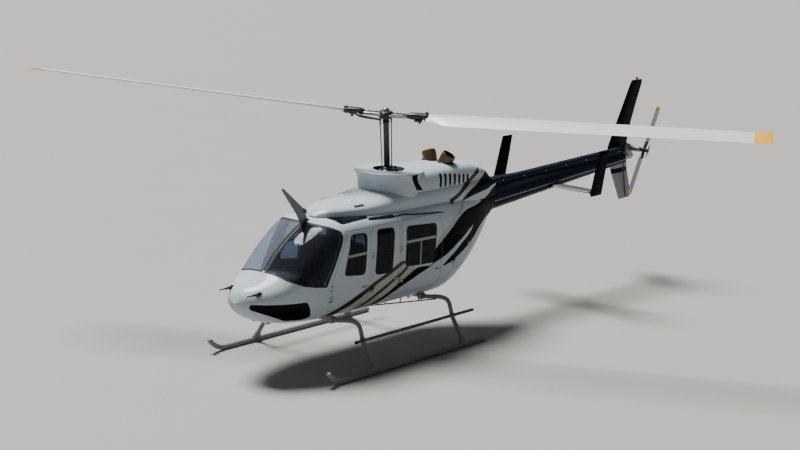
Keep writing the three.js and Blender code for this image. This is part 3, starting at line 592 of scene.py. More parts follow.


# The hull paint: its white base carries painted sky shade, under the cream, olive and black livery.
paintWhiteSkyShaded = stripedPaint("whitePaintSkyShaded", finishes["white"],
    [("Cream", finishes["cream"]), ("Olive", finishes["olive"]), ("Black", finishes["black"])])
plainWhite = simpleFinish("plainWhitePaint", (0.74, 0.74, 0.72), 0.3, grain=90, strength=0.12, shine=0.4)
# A dark navy finish for the strip along the roof edge: painted shade of the gap between roof and cabin side.
paintGapShade = simpleFinish("gapShadePaint", finishes["navy"], 0.24, variation=0.2, grain=60, strength=0.10,
    shine=0.05)
paintBlack = simpleFinish("blackPaint", finishes["black"], 0.30, variation=0.25, grain=90, strength=0.12,
    shine=0.015)
paintSilver = simpleFinish("silverPaint", (0.30, 0.32, 0.35), 0.3, variation=0.06, grain=90, strength=0.12,
    coat=0.1)
barPaint = simpleFinish("windowBarPaint", (0.26, 0.28, 0.31), 0.4, grain=120, strength=0.2)
tailPaint = simpleFinish("tailplanePaint", (0.055, 0.055, 0.058), 0.45, grime=0.3, grain=90, strength=0.2)
cutterPaint = simpleFinish("cutterPaint", (0.15, 0.155, 0.165), 0.4, variation=0.1, grime=0.3, grain=90,
    strength=0.2)
gearPaint = simpleFinish("gearPaint", finishes["gear"], 0.42, variation=0.1, grime=0.35, grain=140,
    strength=0.3)
stepGrip = simpleFinish("stepGrip", (0.085, 0.08, 0.075), 0.75, variation=0.25, grime=0.4, grain=420,
    depth=1.0, strength=0.9)
stepPaint = simpleFinish("stepPaint", (0.075, 0.07, 0.066), 0.45, variation=0.15, grime=0.3, grain=160,
    strength=0.3)
bladePaint = simpleFinish("bladePaint", (0.66, 0.67, 0.69), 0.32, variation=0.04, grime=0.18, grain=120,
    strength=0.15)
tipPaint = simpleFinish("bladeTipPaint", finishes["tipYellow"], 0.34, grain=120, strength=0.15)
rubber = simpleFinish("rubberSeal", (0.008, 0.008, 0.009), 0.62, variation=0.3, grain=500, depth=0.8,
    strength=0.6, shine=0.2)
trimGrey = simpleFinish("cabinTrim", finishes["trim"], 0.8, variation=0.1, grain=420, depth=1.0, strength=0.8)
doorCard = simpleFinish("doorCard", (0.035, 0.038, 0.044), 0.75, variation=0.12, grain=380, depth=1.0,
    strength=0.8)
doorJamb = simpleFinish("doorJamb", (0.36, 0.38, 0.41), 0.4, variation=0.06, grain=160, strength=0.2)
floorPaint = simpleFinish("cabinCarpet", (0.035, 0.037, 0.042), 0.95, variation=0.25, grain=700, depth=2.0,
    strength=1.0)
darkPlastic = simpleFinish("darkPlastic", (0.018, 0.019, 0.021), 0.5, variation=0.15, grain=600, depth=0.8,
    strength=0.5)
castMetal = simpleFinish("castMetal", (0.30, 0.31, 0.32), 0.45, 0.9, variation=0.12, grime=0.4, grain=260,
    depth=0.8, strength=0.5)
steel = simpleFinish("steel", (0.42, 0.43, 0.45), 0.28, 1.0, variation=0.08, grime=0.3, grain=160,
    strength=0.2)
darkSteel = simpleFinish("darkSteel", (0.045, 0.047, 0.052), 0.36, 0.7, variation=0.2, grime=0.4, grain=200,
    strength=0.3)
burntSteel = simpleFinish("burntSteel", finishes["rust"], 0.48, 0.75, variation=0.5, grime=0.5, grain=60,
    depth=0.7, strength=0.4)
# A near-black finish: soot in the exhaust bores and round the stack holes, black on dial faces and intake
# screens, and painted shade on the insides, slot walls and cut edges of the cowlings.
nearBlackSootAndShade = simpleFinish("nearBlackSootAndShade", (0.012, 0.011, 0.010), 0.9, variation=0.3, grain=200)
glassTint = glassFinish("doorGlass", (0.17, 0.235, 0.29), index=1.15)
# The two windscreen panes are one glass. The starboard pane's milky light-blue diffuse part is a painted sky
# reflection; the port pane keeps less of it and looks darker.
glassSkyReflection = glassFinish("windscreenGlassSkyReflection", (0.55, 0.64, 0.76), through=0.86, index=1.14)
glassPort = glassFinish("portWindscreenGlass", (0.38, 0.43, 0.54), through=0.965, index=1.12)
glassDark = glassFinish("chinGlass", (0.05, 0.055, 0.06), index=1.15)
glassTeal = glassFinish("roofGlass", finishes["teal"])
beaconRed = glassFinish("beaconRed", (0.75, 0.03, 0.02), 0.05, 0.6, 1.45)
beaconGreen = glassFinish("lampGreen", (0.03, 0.55, 0.12), 0.05, 0.6, 1.45)
lampClear = glassFinish("lampClear", (0.9, 0.9, 0.88), 0.05, 0.9, 1.45)
leather = padFinish("seatLeather", finishes["leather"])
webbing = simpleFinish("beltWebbing", (0.05, 0.052, 0.058), 0.85, variation=0.2, grain=900, depth=1.2,
    strength=0.9)


def zonedPaint(name, bands, base, shine=0.02, slope=0.0, start=0.0):
    material, tree, shader = startMaterial(name)
    shader.inputs["Specular IOR Level"].default_value = shine
    place = node(tree, "SeparateXYZ", {0: node(tree, "TexCoord").outputs["Object"]})
    x, z = place.outputs[0], place.outputs[2]
    height = value(tree, "SUBTRACT", z, value(tree, "MULTIPLY_ADD", x, slope, start))
    colour = node(tree, "RGB").outputs[0]
    colour.default_value = tuple(base) + (1,)
    for low, high, paint in bands:
        colour = mixColor(tree, between(tree, height, low, high, 0.004), colour, paint)
    wear(tree, shader, colour, 0.28, 0.06, 0.10, 70, 0.3, 0.10)
    return material


boomBands = [(-0.5, -0.035, finishes["black"]), (-0.035, -0.010, (0.20, 0.22, 0.26))]
# Fin colours by height: the two grey bands low on the fin are white paint given a painted shade of grey-blue,
# the upper band lighter; between and above them the fin is black.
finBands = [(1.0, 1.765, (0.25, 0.28, 0.31)), (1.85, 1.93, (0.33, 0.36, 0.39))]
tipBands = [(2.90, 3.2, finishes["tipYellow"]), (1.2, 1.56, finishes["tipYellow"])]
boomPaint = zonedPaint("boomPaint", boomBands, finishes["navy"], slope=-0.05302, start=1.8306)
finPaint = zonedPaint("finPaint", finBands, finishes["black"])
tailBladePaint = zonedPaint("tailBladePaint", tipBands, (0.42, 0.44, 0.46), 0.4)
print("materials made")


# The cabin and its skin

skin = {
    "wall": 45,  # thickness of walls and doors
    "gap": 6,  # round each door
    "ringPoints": 96,
    "finePoints": 1440,
    "windowCorner": 70,
    "glassDepth": 6,
    "sealWidth": 20,
}
# x, bottom, top, height of the widest point, half width, upper and lower squareness
hullTable = [
    (3185, 1060, 1130, 1095, 60, 2.0, 2.0),
    (3150, 985, 1205, 1100, 170, 2.1, 2.1),
    (3040, 890, 1290, 1115, 315, 2.2, 2.2),
    (2850, 800, 1370, 1140, 450, 2.4, 2.4),
    (2640, 745, 1475, 1180, 540, 2.6, 2.6),
    (2420, 712, 1690, 1230, 595, 2.9, 2.8),
    (2200, 695, 1868, 1290, 630, 3.2, 3.0),
    (2000, 685, 1995, 1350, 646, 3.6, 3.2),
    (1850, 680, 2068, 1390, 654, 4.0, 3.3),
    (1680, 676, 2108, 1410, 658, 4.5, 3.4),
    (1100, 672, 2128, 1420, 660, 4.8, 3.4),
    (-300, 670, 2130, 1420, 660, 4.8, 3.4),
    (-720, 678, 2130, 1420, 650, 4.6, 3.4),
    (-1000, 735, 2130, 1425, 620, 4.3, 3.2),
    (-1300, 875, 2130, 1455, 562, 4.0, 3.0),
    (-1600, 1060, 2132, 1530, 486, 3.6, 2.8),
    (-1900, 1290, 2140, 1640, 395, 3.1, 2.5),
    (-2150, 1500, 2125, 1760, 305, 2.6, 2.3),
    (-2400, 1628, 2085, 1850, 226, 2.1, 2.1),
]
noseTip, hullEnd = 3185, -2400
bulkhead = {"front": -720, "back": -762}
floorTop, floorFront = 900, 2150
outlines = {
    "crewDoor": [(1925, 860), (1925, 1300), (1610, 1985), (1120, 1985), (1120, 860)],
    "litterDoor": [(1060, 860), (1060, 1985), (470, 1985), (470, 860)],
    "passengerDoor": [(420, 860), (420, 1985), (-460, 1985), (-540, 1780), (-540, 950), (-450, 860)],
    "baggageDoor": [(-860, 1060), (-860, 1620), (-1420, 1620), (-1420, 1180), (-1300, 1060)],
    "crewWindow": [(1680, 1365), (1530, 1925), (1205, 1908), (1240, 1318)],
    "litterWindow": [(1005, 1275), (970, 1925), (600, 1905), (635, 1255)],
    "passengerWindow": [(325, 1290), (312, 1880), (-380, 1835), (-350, 1250)],
    "windscreen": [(2680, 1500), (2635, 1417), (2450, 1335), (2250, 1293), (2040, 1262), (1970, 1400),
        (1885, 1560), (1750, 1825), (1705, 1925), (1712, 1990), (1800, 2045), (1915, 2075),
        (2300, 2300), (2900, 2000)],
    "chinWindow": [(3135, 1112), (2376, 1088), (2230, 838), (2330, 797), (2620, 818), (3125, 1030)],
}
windowBars = {
    "crewWindow": [[(1612, 1608), (1602, 1646), (1222, 1646), (1224, 1608)]],
    "passengerWindow": [[(318, 1632), (317, 1670), (-367, 1656), (-365, 1618)],
        [(-10, 1270), (-10, 1630), (-34, 1630), (-34, 1270)]],
}
far = 9000  # beyond everything, for cutting tools
bothSides = (("left", 1), ("right", -1))


def rowsBetween(table, x):
    last = len(table) - 2
    i = next((k for k in range(last + 1) if x >= table[k + 1][0]), last)
    rows = [table[min(max(k, 0), last + 1)] for k in (i - 1, i, i + 1, i + 2)]
    r0, r1, r2, r3 = [np.array(row, float) for row in rows]
    step = r2[0] - r1[0]
    u = (x - r1[0]) / step

    def slope(a, b, c):
        if a[0] == b[0]:
            return (c - b) / (c[0] - b[0])
        if b[0] == c[0]:
            return (b - a) / (b[0] - a[0])
        return (c - a) / (c[0] - a[0])

    return ((2 * u ** 3 - 3 * u ** 2 + 1) * r1 + (u ** 3 - 2 * u ** 2 + u) * step * slope(r0, r1, r2)
        + (-2 * u ** 3 + 3 * u ** 2) * r2 + (u ** 3 - u ** 2) * step * slope(r1, r2, r3))


def evenly(points, count, closed=True):
    points = np.asarray(points, float)
    if closed:
        points = np.concatenate([points, points[:1]])
    lengths = np.concatenate([[0], np.cumsum(np.linalg.norm(np.diff(points, axis=0), axis=1))])
    wanted = np.linspace(0, lengths[-1], count + 1)[:-1] if closed else np.linspace(0, lengths[-1], count)
    return np.stack([np.interp(wanted, lengths, points[:, k]) for k in range(points.shape[1])], 1)


def hullRing(x, inward=0, count=None, scale=1):
    _, bottom, top, waist, half, upper, lower = rowsBetween(hullTable, x)
    fine = skin["finePoints"]
    angles = np.pi / 2 + 2 * np.pi * np.arange(fine) / fine
    c, s = np.cos(angles), np.sin(angles)
    c[np.abs(c) < 1e-9] = 0
    power = 2 / np.where(s > 0, upper, lower)
    reach = np.where(s > 0, top - inward - waist, waist - bottom - inward)
    y = np.sign(c) * (half - inward) * np.abs(c) ** power
    z = np.sign(s) * reach * np.abs(s) ** power
    return evenly(np.stack([np.full(fine, float(x)), y * scale, waist + z * scale], 1),
        count or skin["ringPoints"])


def hullLoft(inward=0, front=noseTip, back=hullEnd, capped=True, step=45):
    fine = [x for x in np.arange(3170, 2500, -22) if back < x < front]
    coarse = [x for x in np.arange(2490, -2400, -step) if back < x < front]
    rings = [hullRing(x, inward) for x in [front] + fine + coarse + [back]]
    if front == noseTip:
        dome = [(18, 0.12), (15, 0.45), (9, 0.78)]
        rings = [hullRing(front, inward, scale=k) + (ahead, 0, 0) for ahead, k in dome] + rings
    return loftOf(rings, capped)


def insetOutline(outline, distance):
    points = np.asarray(outline, float)
    after = np.roll(points, -1, axis=0)
    area = np.sum(points[:, 0] * after[:, 1] - after[:, 0] * points[:, 1])
    along = after - points
    lengths = np.linalg.norm(along, axis=1)[:, None]
    inward = np.stack([-along[:, 1], along[:, 0]], 1) / lengths * np.sign(area)
    shifted = points + inward * distance
    result = []
    for i in range(len(points)):
        a, da = shifted[i - 1], along[i - 1]
        b, db = shifted[i], along[i]
        cross = da[0] * db[1] - da[1] * db[0]
        t = ((b[0] - a[0]) * db[1] - (b[1] - a[1]) * db[0]) / cross
        result.append(tuple(a + da * t))
    return result


def roundOutline(outline, radius, steps=6):
    result = []
    points = np.asarray(outline, float)
    for i in range(len(points)):
        corner, before, after = points[i], points[i - 1], points[(i + 1) % len(points)]
        toBefore, toAfter = before - corner, after - corner
        start = corner + toBefore / np.linalg.norm(toBefore) * min(radius, np.linalg.norm(toBefore) * 0.48)
        end = corner + toAfter / np.linalg.norm(toAfter) * min(radius, np.linalg.norm(toAfter) * 0.48)
        for u in np.linspace(0, 1, steps + 1):
            result.append(tuple((1 - u) ** 2 * start + 2 * u * (1 - u) * corner + u ** 2 * end))
    return result


def flank(side, near=100):
    return (near, far) if side > 0 else (-far, -near)


def boxOf(x, y, z):
    return prismOf([(x[0], z[0]), (x[1], z[0]), (x[1], z[1]), (x[0], z[1])], *y)


def sidePrism(outline, side, near=100):
    return prismOf(outline, *flank(side, near))


hullSurface = lookup(hullLoft(capped=False))
liningSurface = lookup(hullLoft(skin["wall"], 3120, hullEnd + 60, capped=False))


def cabinShell():
    shell = makeObject("cabin_shell", [hullLoft(0, noseTip, bulkhead["back"])],
        [paintWhiteSkyShaded, trimGrey, doorJamb, floorPaint])
    cavity = tool(hullLoft(skin["wall"], 3120, bulkhead["front"]))
    boolean(cavity, tool(boxOf((-far, floorFront), (-far, far), (0, floorTop))))
    boolean(shell, cavity)
    deep = tool(hullLoft(skin["wall"] + skin["gap"], 3100, hullEnd + 60))
    for _, doorway, _, _, _, _, side, _ in doorTable[:5]:
        cutter = tool(sidePrism(outlines[doorway], side))
        boolean(cutter, deep, keepTool=True)
        boolean(shell, cutter)
    scrap(deep)
    boolean(shell, tool(sidePrism(roundOutline(outlines["litterWindow"], skin["windowCorner"]), -1)))
    for side in (1, -1):
        boolean(shell, tool(sidePrism(outlines["windscreen"], side, 30)))
        boolean(shell, tool(sidePrism(roundOutline(outlines["chinWindow"], 40), side, 70)))
        boolean(shell, tool(roofPrism(side, 0, 60)))

    def slot(kind, polygon):
        if kind == 0:
            return 0
        if kind == 1:
            return 1
        return 3 if polygon.normal.z > 0.9 and polygon.center.z < 0.95 else 2

    finishSkin(shell, [hullSurface, liningSurface], slot)
    mount(shell, "airframe", "white_paint", "nose_shell", "cabin_frame", "cabin_roof", "cabin_floor")


def aftShell():
    aft = makeObject("aft_shell", [hullLoft(0, bulkhead["back"] - 0.4, hullEnd)],
        [paintWhiteSkyShaded, trimGrey, doorJamb])
    bay = tool(hullLoft(skin["wall"], -700, hullEnd + 60))
    boolean(bay, tool(boxOf((-1470, -830), (-380, far), (1030, 1650))), "INTERSECT")
    boolean(aft, bay)
    deep = tool(hullLoft(skin["wall"] + skin["gap"], 3100, hullEnd + 60))
    cutter = tool(sidePrism(outlines["baggageDoor"], 1))
    boolean(cutter, deep)
    boolean(aft, cutter)
    finishSkin(aft, [hullSurface, liningSurface], lambda kind, polygon: kind % 3)
    mount(aft, "airframe", "white_paint", "aft_fuselage")


crewHinges, cabinHinges = (1040, 1205), (1060, 1560)  # heights of the hinges
# node, doorway, window, hinge x, hinge distance out, hinge heights, side, body
doorTable = [
    ("crew_door_left", "crewDoor", "crewWindow", 1925, 661, crewHinges, 1, "left_crew_door"),
    ("crew_door_right", "crewDoor", "crewWindow", 1925, 661, crewHinges, -1, "right_crew_door"),
    ("litter_door", "litterDoor", "litterWindow", 1060, 674, cabinHinges, 1, "left_litter_door"),
    ("passenger_door_left", "passengerDoor", "passengerWindow", 420, 674, cabinHinges, 1,
        "left_passenger_door"),
    ("passenger_door_right", "passengerDoor", "passengerWindow", 420, 674, cabinHinges, -1,
        "right_passenger_door"),
    ("baggage_door", "baggageDoor", None, -860, 652, (1180, 1480), 1, "left_baggage_door"),
]


def hingePair(x, y, z, side):
    def knuckle(low, high, x0, x1):
        pin = [(0.1, low), (7, low), (8, low + 2), (8, high - 2), (7, high), (0.1, high)]
        return [latheOf(pin, (x, side * y, 0), 20), softBox((x + x0, side * (y - 42), low),
            (x + x1, side * (y + 3), high), 3)]

    link = softBox((x - 8, side * y - 4, z - 20), (x, side * y + 4, z + 20), 1.5)
    lugs = knuckle(z - 46.4, z - 20.4, 1, 42) + knuckle(z + 20.4, z + 46.4, 1, 42)
    return knuckle(z - 20, z + 20, -42, -6) + [link], lugs


def openingRange(outline):
    places = [x for x, _ in outline]
    return max(places) + 60, min(places) - 60


def cabinDoors():
    frameLugs = []
    for door, doorway, window, hingeX, hingeY, heights, side, body in doorTable:
        front, back = openingRange(outlines[doorway])
        panel = makeObject(door + "_skin", [hullLoft(0, front, back)], [paintWhiteSkyShaded, doorCard, doorJamb])
        boolean(panel, tool(sidePrism(insetOutline(outlines[doorway], skin["gap"]), side)), "INTERSECT")
        boolean(panel, tool(hullLoft(skin["wall"], front + 20, back - 20)))
        if window:
            boolean(panel, tool(sidePrism(roundOutline(outlines[window], skin["windowCorner"]), side)))
        finishSkin(panel, [hullSurface, liningSurface], lambda kind, polygon: kind % 3)
        mount(panel, body, "white_paint", door)
        knuckles = []
        for z in heights:
            pin, lugs = hingePair(hingeX, hingeY, z, side)
            knuckles += pin
            frameLugs += lugs
        addPiece(door + "_hinges", knuckles, [paintWhiteSkyShaded], "white_paint", body=body)
        if window:
            addWindow(door + "_", outlines[window], side, body)
            for number, bar in enumerate(windowBars.get(window, [])):
                hullPiece(door + "_bar_%d" % number, barPaint, (-4, 14), openingRange(bar), "grey_paint",
                    sidePrism(bar, side), body=body)
    addPiece("hinge_lugs", frameLugs, [paintWhiteSkyShaded], "white_paint")


# A thin piece of the hull between two depths, kept inside one shape and cut by others
def hullPiece(name, material, depths, span, slotName, keep, *cuts, body="airframe"):
    front, back = min(span[0], noseTip - 2), span[1]
    piece = makeObject(name, [hullLoft(depths[0], front, back, step=25)], [material])
    boolean(piece, tool(keep), "INTERSECT")
    for cut in cuts:
        boolean(piece, tool(cut))
    boolean(piece, tool(hullLoft(depths[1], front + 10, back - 10, step=25)))
    finishSkin(piece, [lookup(hullLoft(depth, front + 10, back - 10, capped=False, step=25))
        for depth in depths])
    return mount(piece, body, slotName)


def sealRing(name, outline, corner, side, half, body="airframe", near=100, shift=0):
    outer, inner = insetOutline(outline, -half), insetOutline(outline, half)
    if corner:
        outer, inner = roundOutline(outer, corner + half), roundOutline(inner, max(corner - half, 10))
    hullPiece(name, rubber, (-2.5, 9), openingRange(outer), "black_trim",
        sidePrism(outer, side, near - shift), sidePrism(inner, side, near + shift), body=body)


def addWindow(name, outline, side, body):
    glass = roundOutline(insetOutline(outline, -6), skin["windowCorner"] + 4)
    hullPiece(name + "pane", glassTint, (1, 1 + skin["glassDepth"]), openingRange(glass), "glazing",
        sidePrism(glass, side), body=body)
    sealRing(name + "seal", outline, skin["windowCorner"], side, skin["sealWidth"] / 2, body)


def roofPrism(side, grow, corner):
    corners = [(1010, side * 200), (1600, side * 200), (1600, side * 500), (1010, side * 500)]
    outline = roundOutline(insetOutline(corners, -grow), corner)
    return loftOf([[(x, y, z) for x, y in outline] for z in (1900, far)])


def cabinGlass():
    screen, chin = outlines["windscreen"], outlines["chinWindow"]
    for label, side in bothSides:
        # the starboard pane takes the glass with the painted sky reflection
        pane = hullPiece("windscreen_pane_" + label, glassPort if side > 0 else glassSkyReflection,
            (1, 1 + skin["glassDepth"]), openingRange(insetOutline(screen, 1)), "glazing",
            sidePrism(insetOutline(screen, 1), side, 31))
        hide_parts("windscreen_" + label)
        sealRing("windscreen_seal_" + label, screen, 0, side, 13, near=31, shift=13)
        glass = roundOutline(insetOutline(chin, -5), 44)
        hullPiece("chin_window_" + label, glassDark, (0.6, 6), openingRange(glass), "glazing",
            sidePrism(glass, side, 68))
        hullPiece("roof_window_" + label, glassTeal, (-1.5, 5), (1700, 900), "glazing",
            roofPrism(side, 4, 64))
    addWindow("litter_window_right_", outlines["litterWindow"], -1, "airframe")


# Cowlings, exhausts and what stands on the roof

cowl = {
    "foot": 1950,
    "shoulder": 2150,
    "thick": 25,
    "discRadius": 530,
    "mastHole": 245,
    "engineSplit": -540,
    "aftSplit": -1560,
    "stackX": -1160,
    "stackY": 145,
    "stackRadius": 110,
    "stackTop": 2728,
}
lowerSquare, upperSquare = 2.6, 4.4  # roundness of their sections
# x, top, half width
lowerCowl = [(1690, 2135, 60), (1620, 2185, 160), (1500, 2238, 250), (1340, 2262, 330), (1000, 2282, 430),
        (600, 2325, 480), (300, 2380, 495), (-900, 2385, 490), (-1500, 2372, 440), (-2000, 2300, 345),
        (-2400, 2165, 225)]
upperCowl = [(150, 2596, 430), (-300, 2600, 440), (-900, 2600, 430), (-1400, 2590, 400), (-1800, 2520, 330),
        (-2150, 2390, 225), (-2400, 2220, 130)]


def cowlRing(table, x, squareness, inward=0, count=56):
    _, top, half = rowsBetween(table, x)
    top, half = top - inward, half - inward
    shoulder = min(cowl["shoulder"], top - 20)
    angles = np.linspace(0, np.pi, 721)
    c, s = np.cos(angles), np.abs(np.sin(angles))
    c[np.abs(c) < 1e-9] = 0
    y = np.sign(c) * half * np.abs(c) ** (2 / squareness)
    z = shoulder + (top - shoulder) * s ** (2 / squareness)
    y = np.concatenate([[half], y, [-half]])
    z = np.concatenate([[cowl["foot"]], z, [cowl["foot"]]])
    arch = np.stack([np.full(len(y), float(x)), y, z], 1)
    return evenly(arch, count, closed=False)


def cowlLoft(table, squareness, inward=0, front=None, back=None, capped=True):
    front = table[0][0] if front is None else front
    back = table[-1][0] if back is None else back
    inner = np.arange(math.floor(front / 40) * 40, back, -40)
    places = [front] + [x for x in inner if back + 5 < x < front - 5] + [back]
    return loftOf([cowlRing(table, x, squareness, inward) for x in places], capped)


def bevelledSlot(x, z, size, side, lean=0):
    w, h = size
    corners = [(-w / 2, -h / 2), (w / 2, -h / 2), (w / 2, h / 2), (-w / 2, h / 2)]
    turned = [(x + a * math.cos(lean) - b * math.sin(lean), z + a * math.sin(lean) + b * math.cos(lean))
        for a, b in corners]
    return sidePrism(roundOutline(turned, min(w, h) * 0.3, 4), side)


louvres = {"count": 7, "front": -728, "pitch": 118, "width": 56, "tall": (205, 130), "height": (2412, 2360),
    "lean": 0.12}
intake = {"outline": [(-285, 2320), (-115, 2340), (74, 2600), (-60, 2600)], "screen": 366}


def louvreSpots():
    spots = []
    for k in range(louvres["count"]):
        along = k / (louvres["count"] - 1)
        tall, height = [first + (last - first) * along
            for first, last in (louvres["tall"], louvres["height"])]
        spots.append((louvres["front"] - k * louvres["pitch"], height, tall))
    return spots


# Cowl skins. Faces off the outer surfaces (insides, intake and louvre walls, cut edges) take the near-black
# finish as painted shade, with soot round the exhaust holes, except high on the transmission cowl where they
# stay white.
def cowlings():
    raised = Matrix.Translation((0, 0, 0.4))  # keeps a hair of room over the piece below
    lowerInside = cowlLoft(lowerCowl, lowerSquare, cowl["thick"], 1600, -2000)
    upperInside = cowlLoft(upperCowl, upperSquare, cowl["thick"], 149, -2150)
    profile = [(0.1, 2150), (475, 2150), (470, 2300), (468, 2420), (469, 2480), (476, 2525), (490, 2558),
        (508, 2578), (cowl["discRadius"] - 3, 2591), (cowl["discRadius"], 2597), (cowl["discRadius"], 2608),
        (cowl["discRadius"] - 5, 2616), (cowl["discRadius"] - 14, 2620), (300, 2624),
        (cowl["mastHole"] + 22, 2626), (cowl["mastHole"] + 6, 2622), (0.1, 2600)]
    collarShape = latheOf(profile, count=96)
    collarSurface = lookup(collarShape)
    lowerSurface = lookup(cowlLoft(lowerCowl, lowerSquare, capped=False))
    upperSurface = lookup(cowlLoft(upperCowl, upperSquare, capped=False))
    hullTool = tool(moved(hullLoft(0), raised))
    well = pegOf(400, cowl["foot"], 2555, sides=48, crown=0)

    base = makeObject("lower_cowl_skin", [cowlLoft(lowerCowl, lowerSquare, back=cowl["aftSplit"])],
        [paintWhiteSkyShaded, nearBlackSootAndShade])
    boolean(base, hullTool, keepTool=True)
    boolean(base, tool(lowerInside))
    boolean(base, tool(well))
    boolean(base, tool(boxOf((cowl["aftSplit"] + 60, cowl["engineSplit"] - 40), (-330, 330),
        (cowl["foot"], 2520))))
    finishSkin(base, [lowerSurface])
    mount(base, "airframe", "white_paint", "lower_cowling")

    head = makeObject("transmission_cowl_skin", [collarShape], [paintWhiteSkyShaded, nearBlackSootAndShade, plainWhite])
    boolean(head, tool(cowlLoft(upperCowl, upperSquare, front=150, back=cowl["engineSplit"])), "UNION")
    lowerRaised = tool(moved(cowlLoft(lowerCowl, lowerSquare), raised))
    boolean(head, lowerRaised, keepTool=True)
    boolean(head, tool(well))
    boolean(head, tool(pegOf(cowl["mastHole"], 2500, 3000, sides=64, crown=0)))
    for side in (1, -1):
        boolean(head, tool(sidePrism(roundOutline(intake["outline"], 16, 4), side, 370)))
    boolean(head, tool(upperInside))
    finishSkin(head, [upperSurface, collarSurface], lambda kind, polygon: 0 if kind >= 0
        else (1 if polygon.center.z < 2.6 else 2))
    mount(head, "airframe", "white_paint", "transmission_cowling")

    engine = makeObject("engine_cowl_skin",
        [cowlLoft(upperCowl, upperSquare, front=cowl["engineSplit"] - 0.4, back=cowl["aftSplit"])],
        [paintWhiteSkyShaded, nearBlackSootAndShade])
    boolean(engine, lowerRaised)
    boolean(engine, tool(upperInside))
    for side in (1, -1):
        place = (cowl["stackX"] - 14, side * (cowl["stackY"] + 4), 0)
        boolean(engine, tool(pegOf(136, 2400, 3000, place, 40, crown=0)))
        for x, z, tall in louvreSpots():
            boolean(engine, tool(bevelledSlot(x, z, (louvres["width"], tall), side, louvres["lean"])))
    finishSkin(engine, [upperSurface], lambda kind, polygon: 0 if kind >= 0 else 1)
    mount(engine, "airframe", "white_paint", "engine_cowling")

    aft = makeObject("aft_fairing_skin", [cowlLoft(lowerCowl, lowerSquare, front=cowl["aftSplit"] - 0.4)],
        [paintWhiteSkyShaded, nearBlackSootAndShade])
    boolean(aft, tool(cowlLoft(upperCowl, upperSquare, front=cowl["aftSplit"] - 0.4)), "UNION")
    boolean(aft, hullTool)
    finishSkin(aft, [lowerSurface, upperSurface], lambda kind, polygon: 0 if kind >= 0 else 1)
    mount(aft, "airframe", "white_paint", "aft_fairing")


def cowlPoint(table, squareness, x, z, side):
    ring = cowlRing(table, x, squareness, 0, 400)
    half = ring[:200]
    k = int(np.argmin(np.abs(half[:, 2] - z)))
    return np.array([x, side * half[k][1], half[k][2]])


def louvreBlades():
    shapes = []
    for side in (1, -1):
        for x, middle, tall in louvreSpots():
            rows = []
            for z in np.linspace(middle - tall * 0.44, middle + tall * 0.44, 5):
                across = x - (z - middle) * math.tan(louvres["lean"]) - 8
                y = cowlPoint(upperCowl, upperSquare, across, z, side)[1]
                rows.append([(across + 2, y - side * 6, z), (across - 2, y - side * 4, z),
                    (across - 17, y - side * 22, z), (across - 13, y - side * 24, z)])
            shapes.append(loftOf(rows))
    addPiece("louvre_blades", shapes, [darkSteel], "dark_grey_metal", smooth=False)
    shapes = []
    for side in (1, -1):
        edge = intake["screen"]
        outline = [(x, z - 4) for x, z in insetOutline(intake["outline"], -4)]
        shapes.append(prismOf(outline, side * edge - 5, side * edge + 5))
        for k in range(5):
            z = 2375 + k * 44
            x = -150 + (z - 2350) * 0.62
            shapes.append(softBox((x - 62, side * edge, z - 4), (x + 62, side * (edge + 26), z + 4), 2))
    addPiece("intake_screens", shapes, [nearBlackSootAndShade], "black_paint")


def exhausts():
    for label, side in bothSides:
        x, y, top, radius = cowl["stackX"], cowl["stackY"], cowl["stackTop"], cowl["stackRadius"]
        path = smoothPath([(x + 10, side * (y - 8), 2400), (x, side * y, 2540),
            (x - 12, side * (y + 16), 2640), (x - 30, side * (y + 62), top)], 8)
        along = np.linspace(0, 1, len(path))
        outer = radius * (1 + 0.03 * np.exp(-((along - 0.9) / 0.03) ** 2)
            + 0.02 * np.exp(-((along - 0.55) / 0.02) ** 2))
        count = 40
        rings, bore = [pipeOf(path, reach, count, capped=False)[0].reshape(-1, count, 3)
            for reach in (outer, outer - 7)]
        lip = rings[-1] * 0.5 + bore[-1] * 0.5 + (0, side * 1.1, 2.2)
        rings = list(rings) + [lip] + list(bore[:2:-1])
        points, faces = loftOf(rings)
        tube = makeObject("exhaust_stack_" + label, [(points, faces)], [burntSteel, nearBlackSootAndShade])
        inside = len(path) + 1
        slots = [1 if (k // count) >= inside else 0 for k in range(len(faces))]
        tube.data.polygons.foreach_set("material_index", slots[:len(tube.data.polygons)])
        mount(tube, "airframe", "burnt_steel", "exhaust_" + label)
        collar = [latheOf([(radius + 3, 2588), (radius + 24, 2586), (radius + 26, 2592),
            (radius + 14, 2604), (radius + 5, 2607), (radius + 3, 2600)], (x - 7, side * (y + 9), 0), 48)]
        addPiece("exhaust_collar_" + label, collar, [darkSteel], "burnt_steel")


def wireCutter():
    cutter = [(1765, 2070), (1905, 2024), (2010, 2200), (2326, 2586), (2318, 2606), (2296, 2606),
        (1850, 2250)]
    blade = makeObject("wire_cutter_blade", [prismOf(roundOutline(cutter, 12, 3), -9, 9)], [cutterPaint],
        smooth=False)
    bevel = blade.modifiers.new("edges", "BEVEL")
    bevel.width, bevel.segments = 0.003, 2
    boolean(blade, makeObject("tool", [hullLoft(-0.6)]))
    mount(blade, "airframe", "steel", "wire_cutter")
    jaw = [softBox((1838, -14, 2196), (1872, 14, 2262), 4), softBox((1770, -40, 2092), (1850, 40, 2104), 4)]
    jaw += [pegOf(6, 2103, 2107, (x, y, 0), 12) for x in (1785, 1835) for y in (-30, 30)]
    addPiece("wire_cutter_foot", jaw, [darkSteel], "steel")


